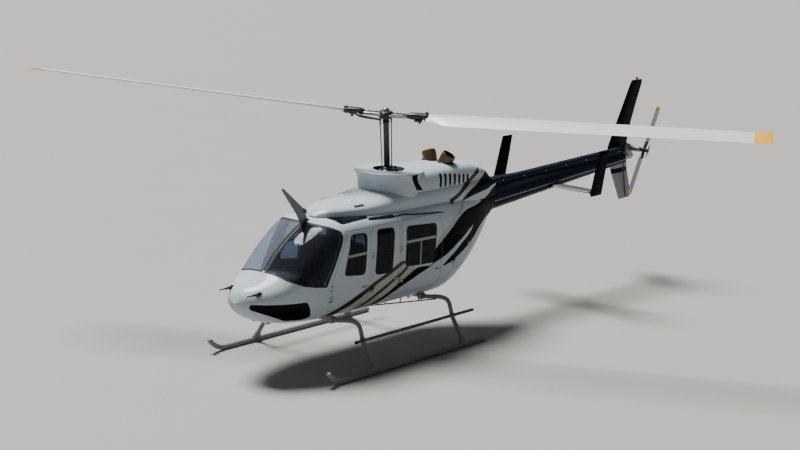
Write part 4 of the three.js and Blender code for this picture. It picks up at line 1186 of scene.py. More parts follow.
def roofDetails():
    bumps = []
    for x, y, size in ((1010, 150, 34), (850, 60, 24), (850, -150, 34), (620, 250, 20)):
        top = rowsBetween(lowerCowl, x)[1]
        profile = [(0.1, size * 0.95), (size * 0.45, size * 0.88), (size * 0.8, size * 0.6),
            (size, size * 0.2), (size * 1.05, -14), (0.1, -14)]
        bumps.append(latheOf(profile[::-1], (x, y, top - abs(y) * 0.12), 24))
    addPiece("roof_bumps", bumps, [plainWhite], "white_paint")

    vents = []
    for side in (1, -1):
        middle, ahead, above = [Vector(cowlPoint(lowerCowl, lowerSquare, x, z, side))
            for x, z in ((1048, 2244), (1128, 2240), (1048, 2256))]
        along = (ahead - middle).normalized()
        out = along.cross(above - middle).normalized() * side * -1
        out = out if out.z > 0 else -out
        turn = Matrix((along, out.cross(along), out)).transposed().to_4x4()
        vents.append(moved(softBox((-92, -28, -8), (92, 28, 4), 5), Matrix.Translation(middle) @ turn))
    addPiece("cowl_vents", vents, [darkPlastic], "black_trim")

    gutters = []
    for side in (1, -1):
        path = []
        for x in np.arange(1060, -660, -40):
            ring = hullRing(x, -1, 800)
            half = ring[:400] if side > 0 else ring[400:]
            k = int(np.argmin(np.abs(half[:, 2] - gutterHeight(x)) + (np.sign(half[:, 1]) != side) * 1000))
            path.append(half[k])
        gutters.append(pipeOf(path, [3, 6] + [8] * (len(path) - 5) + [6, 4, 2], 10, flat=1.4))
    addPiece("roof_gutters", gutters, [rubber], "black_trim")


def gutterHeight(x):
    return float(np.interp(x, [-940, -690, -465, -240, 60, 260, 560, 1035, 1590],
        [1900, 1956, 1985, 1998, 2020, 2045, 2052, 2072, 2036]))


# The tail

boom = {"front": (-2400.4, 1855, 213), "back": (-6380, 2066, 102)}
gearboxHeight = 2082
tailRotor = {"x": -6550, "y": 360, "z": 2230, "radius": 825, "chord": 135, "lean": 27}
stabilizer = {"lead": -3990, "z": 1880, "chord": 330, "thick": 44, "half": 975}
# height, leading edge, trailing edge, thickness
finTable = [(1270, -6590, -6930, 22), (1330, -6560, -6985, 34), (1800, -6290, -6800, 62),
        (2250, -6140, -6735, 70),
        (2680, -6380, -6850, 56), (3340, -6755, -7130, 36), (3390, -6800, -7115, 22)]
plateTable = [(1820, -3990, -4300, 18), (1870, -3970, -4315, 24), (2250, -4085, -4400, 24),
    (2545, -4175, -4455, 18)]


def foilOf(chord, thick, half=16):
    spread = (1 - np.cos(np.pi * np.arange(half + 1) / half)) / 2

    def depth(u):
        return 5 * thick * (0.2969 * np.sqrt(u) - 0.126 * u - 0.3516 * u ** 2
            + 0.2843 * u ** 3 - 0.1036 * u ** 4)

    upper = [(u * chord, depth(u)) for u in spread]
    lower = [(u * chord, -depth(u)) for u in spread[1:-1][::-1]]
    return np.array(upper + lower)


def uprightFoil(table, y, step=60):
    heights = []
    for (low, *_), (high, *_) in zip(table[:-1], table[1:]):
        count = max(1, int((high - low) / step))
        heights += list(np.linspace(low, high, count, endpoint=False))
    heights.append(table[-1][0])
    rings = []
    for z in heights:
        lead, trail, thick = [np.interp(z, [r[0] for r in table], [r[k] for r in table]) for k in (1, 2, 3)]
        section = foilOf(lead - trail, thick)
        rings.append([(lead - back, y + out, z) for back, out in section])
    return loftOf(rings)


def boomRing(x, grow=0):
    along = (x - boom["front"][0]) / (boom["back"][0] - boom["front"][0])
    z = boom["front"][1] + (boom["back"][1] - boom["front"][1]) * along
    radius = boom["front"][2] + (boom["back"][2] - boom["front"][2]) * along + grow
    angles = np.pi / 2 + 2 * np.pi * np.arange(64) / 64
    return np.stack([np.full(64, float(x)), radius * np.cos(angles), z + radius * np.sin(angles)], 1)


# The drive shaft cover: top and half width along it
coverTable = {"behind": (2400, 3300, 6330), "top": (2178, 2168, 2262), "half": (95, 70, 62)}


def coverSize(x, *rows):
    rows += (coverTable["top"], coverTable["half"])
    return [np.interp(-x, coverTable["behind"], row) for row in rows]


def coverArch(x, at, feet, grow=0):
    low, top, half = coverSize(at, feet)
    arch = [(math.cos(t), math.sin(t)) for t in np.linspace(0, math.pi, 17)]
    bow = [(x, np.sign(c) * (half + grow) * abs(c) ** 0.55 if abs(c) > 1e-6 else 0.0,
        top - 42 + (42 + grow) * s) for c, s in arch]
    return [(x, half + grow, low)] + bow + [(x, -half - grow, low)]


def tailBoom():
    places = np.linspace(boom["front"][0], boom["back"][0], 60)
    addPiece("tail_boom_skin", [loftOf([boomRing(x) for x in places])], [boomPaint], "dark_paint",
        "tail_boom")
    bands = []
    for x, width in ((-2412, 16), (-3120, 20), (-3935, 26), (-4380, 26), (-5280, 20), (-6355, 22)):
        rings = [boomRing(x + width, 0.2), boomRing(x + width - 2, 2.2), boomRing(x - width + 2, 2.2),
            boomRing(x - width, 0.2)]
        bands.append(loftOf(rings))
    addPiece("boom_bands", bands, [boomPaint], "dark_paint")

    cover = [coverArch(x, x, (1950, 2000, 2050)) for x in np.linspace(-2401, -6330, 34)]
    addPiece("driveshaft_cover_skin", [loftOf(cover)], [boomPaint], "dark_paint", "driveshaft_cover")
    straps = []
    for x in (-2780, -3380, -3980, -4580, -5180, -5780, -6200):
        straps.append(loftOf([coverArch(x + offset, x, (2010, 2040, 2110), grow)
            for grow, offset in ((0.3, 13), (2.4, 11), (2.4, -11), (0.3, -13))]))
        top, half = coverSize(x)
        for side in (1, -1):
            straps.append(painted(softBox((x - 9, side * (half + 4) - 4, top - 66),
                (x + 9, side * (half + 4) + 4, top - 44), 3), 1))
    addPiece("cover_straps", straps, [paintBlack, steel], "dark_paint")


def tailGearbox():
    profile = [(0.1, -6699), (40, -6699), (60, -6680), (66, -6640), (72, -6560), (86, -6470), (94, -6400),
        (94, -6381), (0.1, -6381)]
    case = [latheOf(profile, (0, 0, gearboxHeight), 48, quarter(1, "Y"))]
    case.append(latheOf([(0.1, 2100), (84, 2100), (95, 2118), (92, 2200), (78, 2262), (62, 2290),
        (40, 2300), (0.1, 2300)], (tailRotor["x"], 0, 0), 48))
    turnY = quarter(-1, "X")
    case.append(latheOf([(0.1, -60), (50, -60), (58, -50), (58, 30), (52, 60), (48, 150), (44, 250),
        (40, 289), (0.1, 289)], (tailRotor["x"], 0, tailRotor["z"]), 40, turnY))
    for k in range(8):
        angle = k * math.pi / 4
        spot = (tailRotor["x"] + 72 * math.cos(angle), 0, tailRotor["z"] + 72 * math.sin(angle))
        case.append(pegOf(6, 30, 38, spot, 8, turnY))
    case.append(latheOf([(0.1, 2296), (16, 2296), (16, 2318), (11, 2324), (0.1, 2325)],
        (tailRotor["x"] + 22, 0, 0), 16))
    addPiece("tail_gearbox_case", case, [castMetal], "dark_grey_metal", "tail_gearbox")


def tailFin():
    finY = -134.8
    fin = makeObject("tail_fin_skin", [uprightFoil(finTable, finY)], [finPaint])
    boolean(fin, makeObject("tool", [loftOf([boomRing(x, 0.5) for x in (-2400, -6381)])]))
    boolean(fin, tool(latheOf([(0.1, -6720), (70, -6720), (99, -6380), (0.1, -6380)],
        (0, 0, gearboxHeight), 48, quarter(1, "Y"))))
    mount(fin, "airframe", "black_paint", "tail_fin")
    fin.data.set_sharp_from_angle(angle=math.radians(35))
    beacon = [latheOf([(0.1, 3384), (26, 3384), (28, 3392), (22, 3398), (0.1, 3398)], (-6955, finY, 0), 32),
        painted(latheOf([(0.1, 3397), (20, 3397), (20, 3425), (15, 3441), (0.1, 3446)], (-6955, finY, 0),
        32), 1)]
    addPiece("fin_beacon", beacon, [darkSteel, beaconRed], "black_trim")
    bumper = smoothPath([(-6560, -60, 1960), (-6640, -80, 1700), (-6730, -100, 1440), (-6800, -118, 1300)], 6)
    addPiece("tail_skid", [pipeOf(bumper, 11, 12)], [darkSteel], "steel")


def tailplane():
    wing = foilOf(stabilizer["chord"], stabilizer["thick"])
    rings = [[(stabilizer["lead"] - back, y, stabilizer["z"] - out) for back, out in wing]
        for y in np.linspace(-stabilizer["half"], stabilizer["half"], 31)]
    addPiece("stabilizer_skin", [loftOf(rings)], [tailPaint], "grey_paint", "stabilizer")
    saddle = []
    for side in (1, -1):
        rings = []
        for y, grow in ((150, 20), (172, 14), (196, 6), (216, 1.5)):
            section = foilOf(stabilizer["chord"] + grow * 2, stabilizer["thick"] + grow * 2)
            rings.append([(stabilizer["lead"] + grow - back, side * y, stabilizer["z"] - out)
                for back, out in section])
        saddle.append(loftOf(rings))
    addPiece("stabilizer_saddle", saddle, [boomPaint], "dark_paint")
    for label, side in bothSides:
        y = side * (stabilizer["half"] + 12.4)
        addPiece("end_plate_skin_" + label, [uprightFoil(plateTable, y, 40)], [paintBlack], "black_paint",
            "end_plate_" + label)
        lamp = latheOf([(0.1, 0), (12, 0), (12, 8), (8, 16), (0.1, 19)],
            (-4150, side * (stabilizer["half"] + 24), 1995), 24, quarter(-side, "X"))
        lens = beaconRed if side > 0 else beaconGreen
        addPiece("side_lamp_" + label, [lamp], [lens], "black_trim")


def tailRotorPieces():
    turn = Matrix.Translation((tailRotor["x"], 0, tailRotor["z"])) @ turned(-tailRotor["lean"], "Y")
    table = [(110.4, 70, 26), (190, 135, 20), (805, 135, 15), (818, 122, 12), (825, 96, 7)]
    for number in (1, 2):
        rings = []
        for out in list(np.linspace(110.4, 190, 9)) + list(np.linspace(220, 805, 24)) + [812, 818, 822, 825]:
            chord, thick = [np.interp(out, [r[0] for r in table], [r[k] for r in table]) for k in (1, 2)]
            rings.append([(chord * 0.35 - back, tailRotor["y"] + side, out)
                for back, side in foilOf(chord, thick)])
        blade = moved(loftOf(rings), turn @ quarter(2 * number - 2, "Y"))
        addPiece("tail_blade_skin_%d" % number, [blade], [tailBladePaint], "blade_paint",
            "tail_blade_%d" % number, body="tail_rotor")
    alongY = quarter(-1, "X")
    hub = [latheOf([(0.1, 290.4), (34, 290.4), (34, 322), (30, 326), (30, 392), (34, 396), (34, 414),
        (26, 420), (0.1, 420)], (0, 0, 0), 32, alongY), softBox((-30, 342, -112), (30, 378, 112), 7)]
    for end in (1, -1):
        hub.append(latheOf([(0.1, 0), (26, 0), (30, 8), (30, 40), (24, 50), (0.1, 52)],
            (0, 360, end * 134 - 26), 24))
        hub += [pegOf(6, 376, 384, (x, 0, end * 80), 8, alongY) for x in (-16, 16)]
    hub.append(latheOf([(0.1, 420), (18, 420), (18, 452), (14, 460), (0.1, 461)], (0, 0, 0), 24, alongY))
    hub.append(softBox((-14, 436, -92), (14, 450, 92), 5))
    for end in (1, -1):
        hub.append(pipeOf([(end * 10, 443, end * 84), (end * 46, 400, end * 100),
            (end * 58, 364, end * 118)], 5, 10))
    addPiece("tail_rotor_head", [moved(shape, turn) for shape in hub], [darkSteel], "steel",
        "tail_rotor_hub", body="tail_rotor")


# Landing gear

gear = {"y": 1170, "radius": 40, "tube": 33, "step": 22, "stepY": 970, "stepZ": 460, "front": 1560,
        "rear": -490, "heel": -1000, "bendStart": 2180, "bendMiddle": 2400, "toe": 2540, "toeHeight": 205}
legPath = [(300, 634), (460, 648), (600, 676), (720, 688), (800, 680), (850, 652), (885, 590), (915, 500),
        (950, 415), (1005, 330), (1065, 245), (1122, 150), (1170, 50)]


# A band round the flight step from its places along x and how far it stands out at each
def stepBand(y, parts, count):
    rings = []
    for x, grow in parts:
        reach = gear["step"] + grow
        rings.append([(x, y + a, gear["stepZ"] + b) for a, b in softRing(reach, reach, count)])
    return loftOf(rings)


def landingGear():
    skidHeight = gear["radius"] * math.cos(math.pi / 8)
    for label, side in bothSides:
        y = side * gear["y"]
        straight = [(x, y, skidHeight) for x in np.linspace(gear["heel"], gear["bendStart"], 30)]
        bend = [((1 - u) ** 2 * gear["bendStart"] + 2 * u * (1 - u) * gear["bendMiddle"]
            + u * u * gear["toe"], y,
            (1 - u) ** 2 * skidHeight + 2 * u * (1 - u) * skidHeight + u * u * gear["toeHeight"])
            for u in np.linspace(0, 1, 14)[1:]]
        path = np.array(straight + bend)
        last = path[-1] - path[-2]
        last /= np.linalg.norm(last)
        end = path[-1] + np.array([last * 4, last * 8, last * 10])
        tube = pipeOf(np.concatenate([path, end]), [skidHeight] * len(path) + [33, 24, 8], 28)
        tube[0][:, 2] = np.maximum(tube[0][:, 2], 0)
        addPiece("skid_tube_" + label, [tube], [gearPaint], "grey_paint", "skid_" + label)
        cap = [latheOf([(0.1, -1006), (26, -1006), (35, -1000), (38.4, -990), (38.4, -968), (37.2, -966),
            (0.1, -966)], (0, y, skidHeight), 28, quarter(1, "Y"))]
        cap[0][0][:, 2] = np.maximum(cap[0][0][:, 2], 0)
        shoes = []
        for low, high in ((-860, -560), (-420, 60), (420, 900), (1300, 1780), (1900, 2150)):
            rings = []
            for x, grow in ((low, 0.2), (low + 6, 3.2), (high - 6, 3.2), (high, 0.2)):
                arc = [(x, y + (skidHeight + grow) * math.sin(t),
                    skidHeight - (skidHeight + grow) * math.cos(t)) for t in np.linspace(-1.15, 1.15, 15)]
                inner = [(x, y + (skidHeight - 2) * math.sin(t),
                    skidHeight - (skidHeight - 2) * math.cos(t)) for t in np.linspace(1.15, -1.15, 15)]
                ring = np.array(arc + inner)
                ring[:, 2] = np.maximum(ring[:, 2], 0)
                rings.append(ring)
            shoes.append(loftOf(rings))
        addPiece("skid_shoes_" + label, shoes + cap, [castMetal], "steel")
        rail = pipeOf([(x, side * gear["stepY"], gear["stepZ"]) for x in np.linspace(-952, 1752, 24)],
            gear["step"] - 1, 24)
        addPiece("step_rail_" + label, [rail], [stepPaint], "dark_grey_metal", "step_" + label)
        grips = []
        for low, high in ((-930, -530), (-420, 180), (240, 760), (860, 1480), (1620, 1740)):
            parts = ((low, -1), (low + 4, 1.4), (high - 4, 1.4), (high, -1))
            grips.append(stepBand(side * gear["stepY"], parts, 24))
        ends = [latheOf([(0.1, 0), (22, 0), (22, 16), (14, 20), (0.1, 21)],
            (x, side * gear["stepY"], gear["stepZ"]), 20, quarter(s, "Y"))
            for x, s in ((-940, -1), (1740, 1))]
        addPiece("step_grips_" + label, grips + [painted(e, 1) for e in ends], [stepGrip, rubber],
            "black_trim")
    for label in ("front", "rear"):
        crosstube(label, gear[label])


def crosstube(label, x):
    points = [(x, -y, z) for y, z in reversed(legPath)] + [(x, 0, 632)] + [(x, y, z) for y, z in legPath]
    path = smoothPath(points, 8)
    path = path[(path[:, 2] > 44)]
    tube = makeObject("crosstube_leg_" + label, [pipeOf(path, gear["tube"], 28)], [gearPaint])
    boolean(tube, tool(boxOf((x - 200, x + 200), (-1400, 1400), (-50, 72))))
    tube.data.polygons.foreach_set("use_smooth", [True] * len(tube.data.polygons))
    tube.data.set_sharp_from_angle(angle=math.radians(40))
    mount(tube, "airframe", "grey_paint", "crosstube_" + label)
    fittings, clamps = [], []
    for side in (1, -1):
        y = side * gear["y"]
        boot = []
        for z, wide, long in ((60, 44, 78), (80, 44, 74), (100, 42, 58), (132, 38.5, 44), (168, 37, 38)):
            centre = y - side * max(0, z - 62) * 0.46
            boot.append([(x + a, centre + b, z) for a, b in softRing(long, wide, 32, 0.7)])
        fittings.append(loftOf(boot))
        for dx in (-62, 62):
            fittings += [painted(pegOf(7, 78, 86, (x + dx, y + dy, 0), 10), 1) for dy in (-26, 26)]
        inner = side * 335
        clamps.append(softBox((x - 46, inner - 36, 590), (x + 46, inner + 36, 684), 10))
        for dx in (-36, 36):
            clamps += [painted(pegOf(7, 580, 592, (x + dx, inner + dy, 0), 10, crown=0), 1)
                for dy in (-22, 22)]
        rail = side * gear["stepY"]
        for middle in (x - 26, x + 26):
            parts = [(middle + along, grow) for along, grow in ((-7, 2), (-5, 6), (5, 6), (7, 2))]
            clamps.append(stepBand(rail, parts, 20))
        clamps.append(softBox((x - 34, rail - side * 62, gear["stepZ"] - 16),
            (x + 34, rail + side * 8, gear["stepZ"] + 16), 6))
    addPiece("gear_fittings_" + label, fittings, [gearPaint, steel], "grey_paint")
    addPiece("gear_clamps_" + label, clamps, [gearPaint, steel], "grey_paint")


# The main rotor

rotor = {"tilt": 5, "azimuth": 118, "teeter": 3.825, "precone": 2.175, "hubHeight": 1320, "radius": 5640,
    "rootPitch": 18, "tipPitch": 15, "mastFoot": 2130, "chord": 330, "tipStart": 5600, "yellowFrom": 5370}
mastFoot = Matrix.Translation((0, 0, rotor["mastFoot"]))
mastFrame = mastFoot @ turned(rotor["tilt"], "Y") @ turned(rotor["azimuth"], "Z")
headFrame = mastFrame @ Matrix.Translation((0, 0, rotor["hubHeight"])) @ turned(rotor["teeter"], "Y")


def armFrame(turn):
    return headFrame @ turned(turn, "Z") @ turned(-rotor["precone"], "Y")


def bladeShape():
    table = [(620, 190, 56), (720, 205, 54), (980, 330, 44), (2500, 330, 38), (4200, 330, 36),
        (5600, 330, 34), (5640, 280, 20)]
    outs = list(np.linspace(620, 980, 19)) + list(np.arange(1040, 5360, 80))
    outs += [5369, 5371, 5450, 5530, 5600, 5618, 5630, 5640]
    rings = []
    for out in outs:
        chord, thick = [float(np.interp(out, [r[0] for r in table], [r[k] for r in table])) for k in (1, 2)]
        if 720 < out < 980:
            u = (out - 720) / 260
            chord = 205 + 125 * (u * u * (3 - 2 * u))
        if out > rotor["tipStart"]:
            chord = rotor["chord"] - 50 * ((out - rotor["tipStart"]) / 40) ** 2
        pitch = math.radians(rotor["rootPitch"]
            + (rotor["tipPitch"] - rotor["rootPitch"]) * out / rotor["radius"])
        section = foilOf(chord, thick, 18)
        forward = chord * 0.27 - section[:, 0]
        rings.append(np.stack([np.full(len(section), float(out)),
            forward * math.cos(pitch) - section[:, 1] * math.sin(pitch), forward * math.sin(pitch)
            + section[:, 1] * math.cos(pitch)], 1))
    return loftOf(rings)


def mainBlades():
    points, faces = bladeShape()
    for number, turn in ((1, 0), (2, 180)):
        arm = armFrame(turn)
        blade = makeObject("main_blade_skin_%d" % number, [moved((points, faces), arm)],
            [bladePaint, tipPaint, darkSteel])
        yellow = [int(np.mean([points[i][0] for i in face]) > rotor["yellowFrom"]) for face in faces]
        blade.data.polygons.foreach_set("material_index", yellow)
        blade.data.set_sharp_from_angle(angle=math.radians(50))
        mount(blade, "main_rotor", "blade_paint", "main_blade_%d" % number)
        sections = [(331.5, 60, 30), (350, 66, 40), (400, 70, 50), (470, 66, 50), (560, 68, 46),
            (600, 76, 38), (619.6, 82, 34)]
        fittings = [loftOf([[(out, a, b) for a, b in softRing(half, high, 40, 0.6)]
            for out, half, high in sections])]
        pitch = turned(rotor["rootPitch"], "X")
        for low, high in ((30, 44), (-44, -30)):
            plate = loftOf([[(out, wide * s, z) for s, z in ((-1, low), (1, low), (1, high), (-1, high))]
                for out, wide in ((585, 60), (600, 64), (628, 60), (642, 44))])
            fittings.append(moved(plate, pitch))
        for y in (-34, 34):
            bolt = latheOf([(0.1, -58), (13, -58), (13, -50), (10, -48), (10, 48), (13, 50), (13, 58),
                (0.1, 59)], (608, y, 0), 14)
            fittings.append(painted(moved(bolt, pitch), 1))
        addPiece("blade_grip_shell_%d" % number, [moved(s, arm) for s in fittings], [darkSteel, steel],
            "dark_grey_metal", "blade_grip_%d" % number, body="main_rotor")
        path = smoothPath([(420, 40, -26), (390, 92, -40), (300, 112, -48), (190, 116, -54),
            (68, 110, -58)], 5)
        horn = [pipeOf(path, np.linspace(28, 16, len(path)), 14), softBox((40, 92, -76), (80, 126, -40), 8),
            pegOf(20, -100, -60, (520, -40, 0), 20, crown=0), softBox((440, -76, -74), (560, -24, -34), 12)]
        addPiece("pitch_horn_%d" % number, [moved(s, arm) for s in horn], [darkSteel], "dark_grey_metal",
            body="main_rotor")


def rotorHead():
    rings = []
    for out, half, low, high in ((-330, 58, -14, 22), (-322, 64, -16, 24), (-250, 66, -17, 25),
            (-150, 70, -18, 26), (150, 70, -18, 26), (250, 66, -17, 25), (322, 64, -16, 24),
            (330, 58, -14, 22)):
        rings.append([(out, half, low + 4), (out, half, high - 4), (out, half - 5, high),
            (out, -half + 5, high), (out, -half, high - 4), (out, -half, low + 4), (out, -half + 5, low),
            (out, half - 5, low)])
    yoke = [painted(loftOf(rings), 1)]
    yoke.append(latheOf([(0.1, -52), (92, -52), (100, -46), (104, -34), (96, -20), (92, 0), (96, 22),
        (104, 36), (100, 47), (90, 52), (0.1, 52)], count=40))
    for half in (0, 2):
        trunnion = latheOf([(0.1, 60), (36, 60), (36, 110), (42, 114), (42, 140), (34, 150), (0.1, 150)],
            count=32)
        yoke.append(moved(trunnion, quarter(half, "Z") @ quarter(-1, "X")))
    yoke.append(painted(latheOf([(0.1, 50), (58, 50), (58, 62), (50, 66), (46, 84), (40, 94), (30, 100),
        (0.1, 100)], count=32), 1))
    for k in range(10):
        angle = k * math.pi / 5
        yoke.append(painted(pegOf(9, 50, 60, (80 * math.cos(angle), 80 * math.sin(angle), 0)), 1))
    for side in (1, -1):
        for x in (150, 210, 270):
            yoke += [painted(pegOf(10, 24, 36, (side * x, y, 0), 10), 1) for y in (36, -36)]
    addPiece("rotor_head_yoke", [moved(s, headFrame) for s in yoke], [darkSteel, steel], "steel",
        "rotor_hub", body="main_rotor")


def rotorMast():
    shaft = [latheOf([(0.1, 296), (48, 296), (48, 326), (88, 330), (92, 336), (92, 366), (88, 372),
        (62, 376), (62, 424), (56, 432), (46, 440), (44, 900), (44, 1180), (52, 1190), (52, 1225),
        (46, 1232), (46, 1264.8), (0.1, 1264.8)], count=48)]
    for k in range(12):
        angle = k * math.pi / 6
        shaft.append(pegOf(6, 370, 380, (78 * math.cos(angle), 78 * math.sin(angle), 0)))
    addPiece("mast_shaft", [moved(s, mastFrame) for s in shaft], [darkSteel], "steel", "mast",
        body="main_rotor")


def rotorControls():
    swash = [latheOf([(0.1, 452), (110, 452), (132, 458), (138, 470), (132, 482), (106, 488), (70, 492),
        (66, 520), (50, 524), (0.1, 524)], count=48)]
    links = []
    for half in (0, 2):
        turn = quarter(half, "Z")
        low = np.array(turn.to_3x3()) @ np.array([52.0, 92.0, 470.0])
        arm = turned(rotor["teeter"], "Y") @ turn @ turned(-rotor["precone"], "Y")
        high = np.array(arm @ Vector((60, 108, -60))) + (0, 0, rotor["hubHeight"])
        path = [low, low * 0.98 + high * 0.02, low * 0.9 + high * 0.1, low * 0.89 + high * 0.11,
            low * 0.11 + high * 0.89, low * 0.1 + high * 0.9, low * 0.02 + high * 0.98, high]
        links.append(pipeOf(path, [7, 12, 12, 8, 8, 12, 12, 7], 14))
        swash.append(moved(softBox((30, 66, 456), (74, 110, 480), 6), turn))
    addPiece("swashplate_ring", [moved(s, mastFrame) for s in swash], [darkSteel], "steel", body="main_rotor")
    addPiece("pitch_links", [moved(s, mastFrame) for s in links], [darkSteel], "steel", body="main_rotor")


# Inside the cabin

seats = {
    "pressure": 4.0,
    "voxel": 0.010,
    "mostMove": 0.020,
    "lean": 4,
    "frames": 20,
    "crewY": 315,
    "grooveDepth": 0.011,
    "grooveWidth": 0.009,
    "edgeDepth": 0.010,
    "edgeWidth": 0.008,
    "edgeInset": 0.045,
}
benchPlaces = [y * 0.98 for y in (-345, 0, 345)]


def puffed(name, size, channels, material):
    length, width, thick = size
    corner = np.array((length / 2, width / 2, thick / 2))
    obj = makeObject(name, [softBox(-corner, corner, thick * 0.42, 4)], [material])
    mesh = obj.data
    for vertex in mesh.vertices:
        vertex.co.x -= mastX
    remesh = obj.modifiers.new("remesh", "REMESH")
    remesh.mode, remesh.voxel_size = "VOXEL", seats["voxel"]
    graph = bpy.context.evaluated_depsgraph_get()
    obj.data = bpy.data.meshes.new_from_object(obj.evaluated_get(graph))
    obj.modifiers.clear()
    start = [vertex.co.copy() for vertex in obj.data.vertices]
    cloth = obj.modifiers.new("cloth", "CLOTH")
    cloth.settings.quality = 5
    cloth.settings.use_pressure = True
    cloth.settings.uniform_pressure_force = seats["pressure"]
    cloth.settings.effector_weights.gravity = 0
    cloth.settings.tension_stiffness = 25
    cloth.settings.bending_stiffness = 2
    scene = bpy.context.scene
    for number in range(1, seats["frames"] + 1):
        scene.frame_set(number)
    graph = bpy.context.evaluated_depsgraph_get()
    obj.data = bpy.data.meshes.new_from_object(obj.evaluated_get(graph))
    obj.modifiers.clear()
    scene.frame_set(1)
    for vertex, first in zip(obj.data.vertices, start):
        step = vertex.co - first
        if step.length > seats["mostMove"]:
            vertex.co = first + step * (seats["mostMove"] / step.length)
    places = np.array([v.co for v in obj.data.vertices])
    half = thick / 2000
    dents = [seats["grooveDepth"] * np.exp(-((places[:, 1] - y / 1000) / seats["grooveWidth"]) ** 2)
        for y in channels]
    dents.append(seats["edgeDepth"]
        * np.exp(-((np.abs(places[:, 0]) - length / 2000 + seats["edgeInset"]) / seats["edgeWidth"]) ** 2))
    for dent in dents:
        places[:, 2] -= np.sign(places[:, 2]) * dent * np.clip(np.abs(places[:, 2]) / half - 0.45, 0, 1)
    obj.data.vertices.foreach_set("co", places.ravel())
    obj.data.polygons.foreach_set("use_smooth", [True] * len(obj.data.polygons))
    return obj


def cushionCopy(source, name, matrix, last=False):
    obj = source if last else bpy.data.objects.new(name, source.data.copy())
    if not last:
        bpy.context.scene.collection.objects.link(obj)
    obj.name = name
    obj.data.transform(matrix)
    smooth = obj.modifiers.new("rounder", "SUBSURF")
    smooth.levels = smooth.render_levels = 1
    mount(obj, "airframe", "seat_leather")


def placeOf(x, y, z, upright=0, facing=0):
    return (Matrix.Translation((x / 1000 + mastX, y / 1000, z / 1000)) @ turned(facing, "Z")
        @ turned(-seats["lean"] - 90 * upright, "Y"))


def seatShells():
    shapes = []
    for side in (1, -1):
        y = side * seats["crewY"]
        shapes.append(softBox((1262, y - 184, 901), (1716, y + 184, 1085), 22))
        shapes.append(softBox((1243, y - 190, 1060), (1268, y + 190, 1742), 11))
        for rail in (y - 130, y + 130):
            shapes.append(painted(softBox((1270, rail - 9, 901), (1735, rail + 9, 914), 3), 1))
    addPiece("crew_seat_shells", shapes, [darkPlastic, steel], "black_trim", "crew_seat_left",
        "crew_seat_right")
    shapes = [softBox((668, -508, 901), (1136, 508, 1088), 20),
        softBox((1114, -512, 1080), (1139, 512, 1725), 11)]
    addPiece("middle_seat_frame", shapes, [trimGrey], "black_trim", "middle_seats")
    shapes = [softBox((-715, -508, 901), (-205, 508, 1088), 20),
        softBox((-719, -512, 1080), (-694, 512, 1725), 11)]
    addPiece("rear_bench_frame", shapes, [trimGrey], "black_trim", "rear_bench")


def cushions():
    seatShells()
    pan = puffed("panPad", (440, 360, 84), (-60, 60), leather)
    back = puffed("backPad", (500, 360, 64), (-60, 60), leather)
    head = puffed("headPad", (110, 230, 52), (), leather)
    for label, side in bothSides:
        y = side * seats["crewY"]
        cushionCopy(pan, "crew_pan_cushion_" + label, placeOf(1506, y, 1146))
        cushionCopy(back, "crew_back_cushion_" + label, placeOf(1316, y, 1430, 1))
        cushionCopy(head, "crew_headrest_" + label, placeOf(1292, y, 1744, 1))
    for k, y in enumerate(benchPlaces):
        cushionCopy(pan, "middle_pan_cushion_%d" % (k + 1), placeOf(880, y, 1146, 0, 180))
        cushionCopy(back, "middle_back_cushion_%d" % (k + 1), placeOf(1072, y, 1430, 1, 180))
        last = k == len(benchPlaces) - 1
        cushionCopy(pan, "rear_pan_cushion_%d" % (k + 1), placeOf(-432, y, 1146), last)
        cushionCopy(back, "rear_back_cushion_%d" % (k + 1), placeOf(-646, y, 1430, 1), last)
    scrap(head)
    belts = []
    for side in (1, -1):
        middle = side * seats["crewY"]
        for y in (middle - 85, middle + 85):
            path = [(1350, y, 1690), (1368, y * 0.99 + side * 3, 1600), (1374, y, 1450),
                (1390, y * 0.97 + side * 9, 1280), (1460, middle + (y - middle) * 0.5, 1210),
                (1500, middle, 1204)]
            belts.append(strapOf(smoothPath(path, 6), 46, 2.4))
        belts.append(painted(softBox((1478, middle - 34, 1200), (1530, middle + 34, 1214), 5), 1))
    addPiece("crew_belts", belts, [webbing, steel], "black_trim")


def strapOf(path, width, thick):
    path = np.asarray(path, float)
    rings = []
    for i, point in enumerate(path):
        tangent = path[min(i + 1, len(path) - 1)] - path[max(i - 1, 0)]
        tangent /= np.linalg.norm(tangent)
        side = np.array([0, 1, 0]) - tangent * tangent[1]
        side /= np.linalg.norm(side)
        out = np.cross(tangent, side)
        rings.append([point + side * a * width / 2 + out * b * thick
            for a, b in ((1, -1), (1, 1), (-1, 1), (-1, -1))])
    return loftOf(rings)


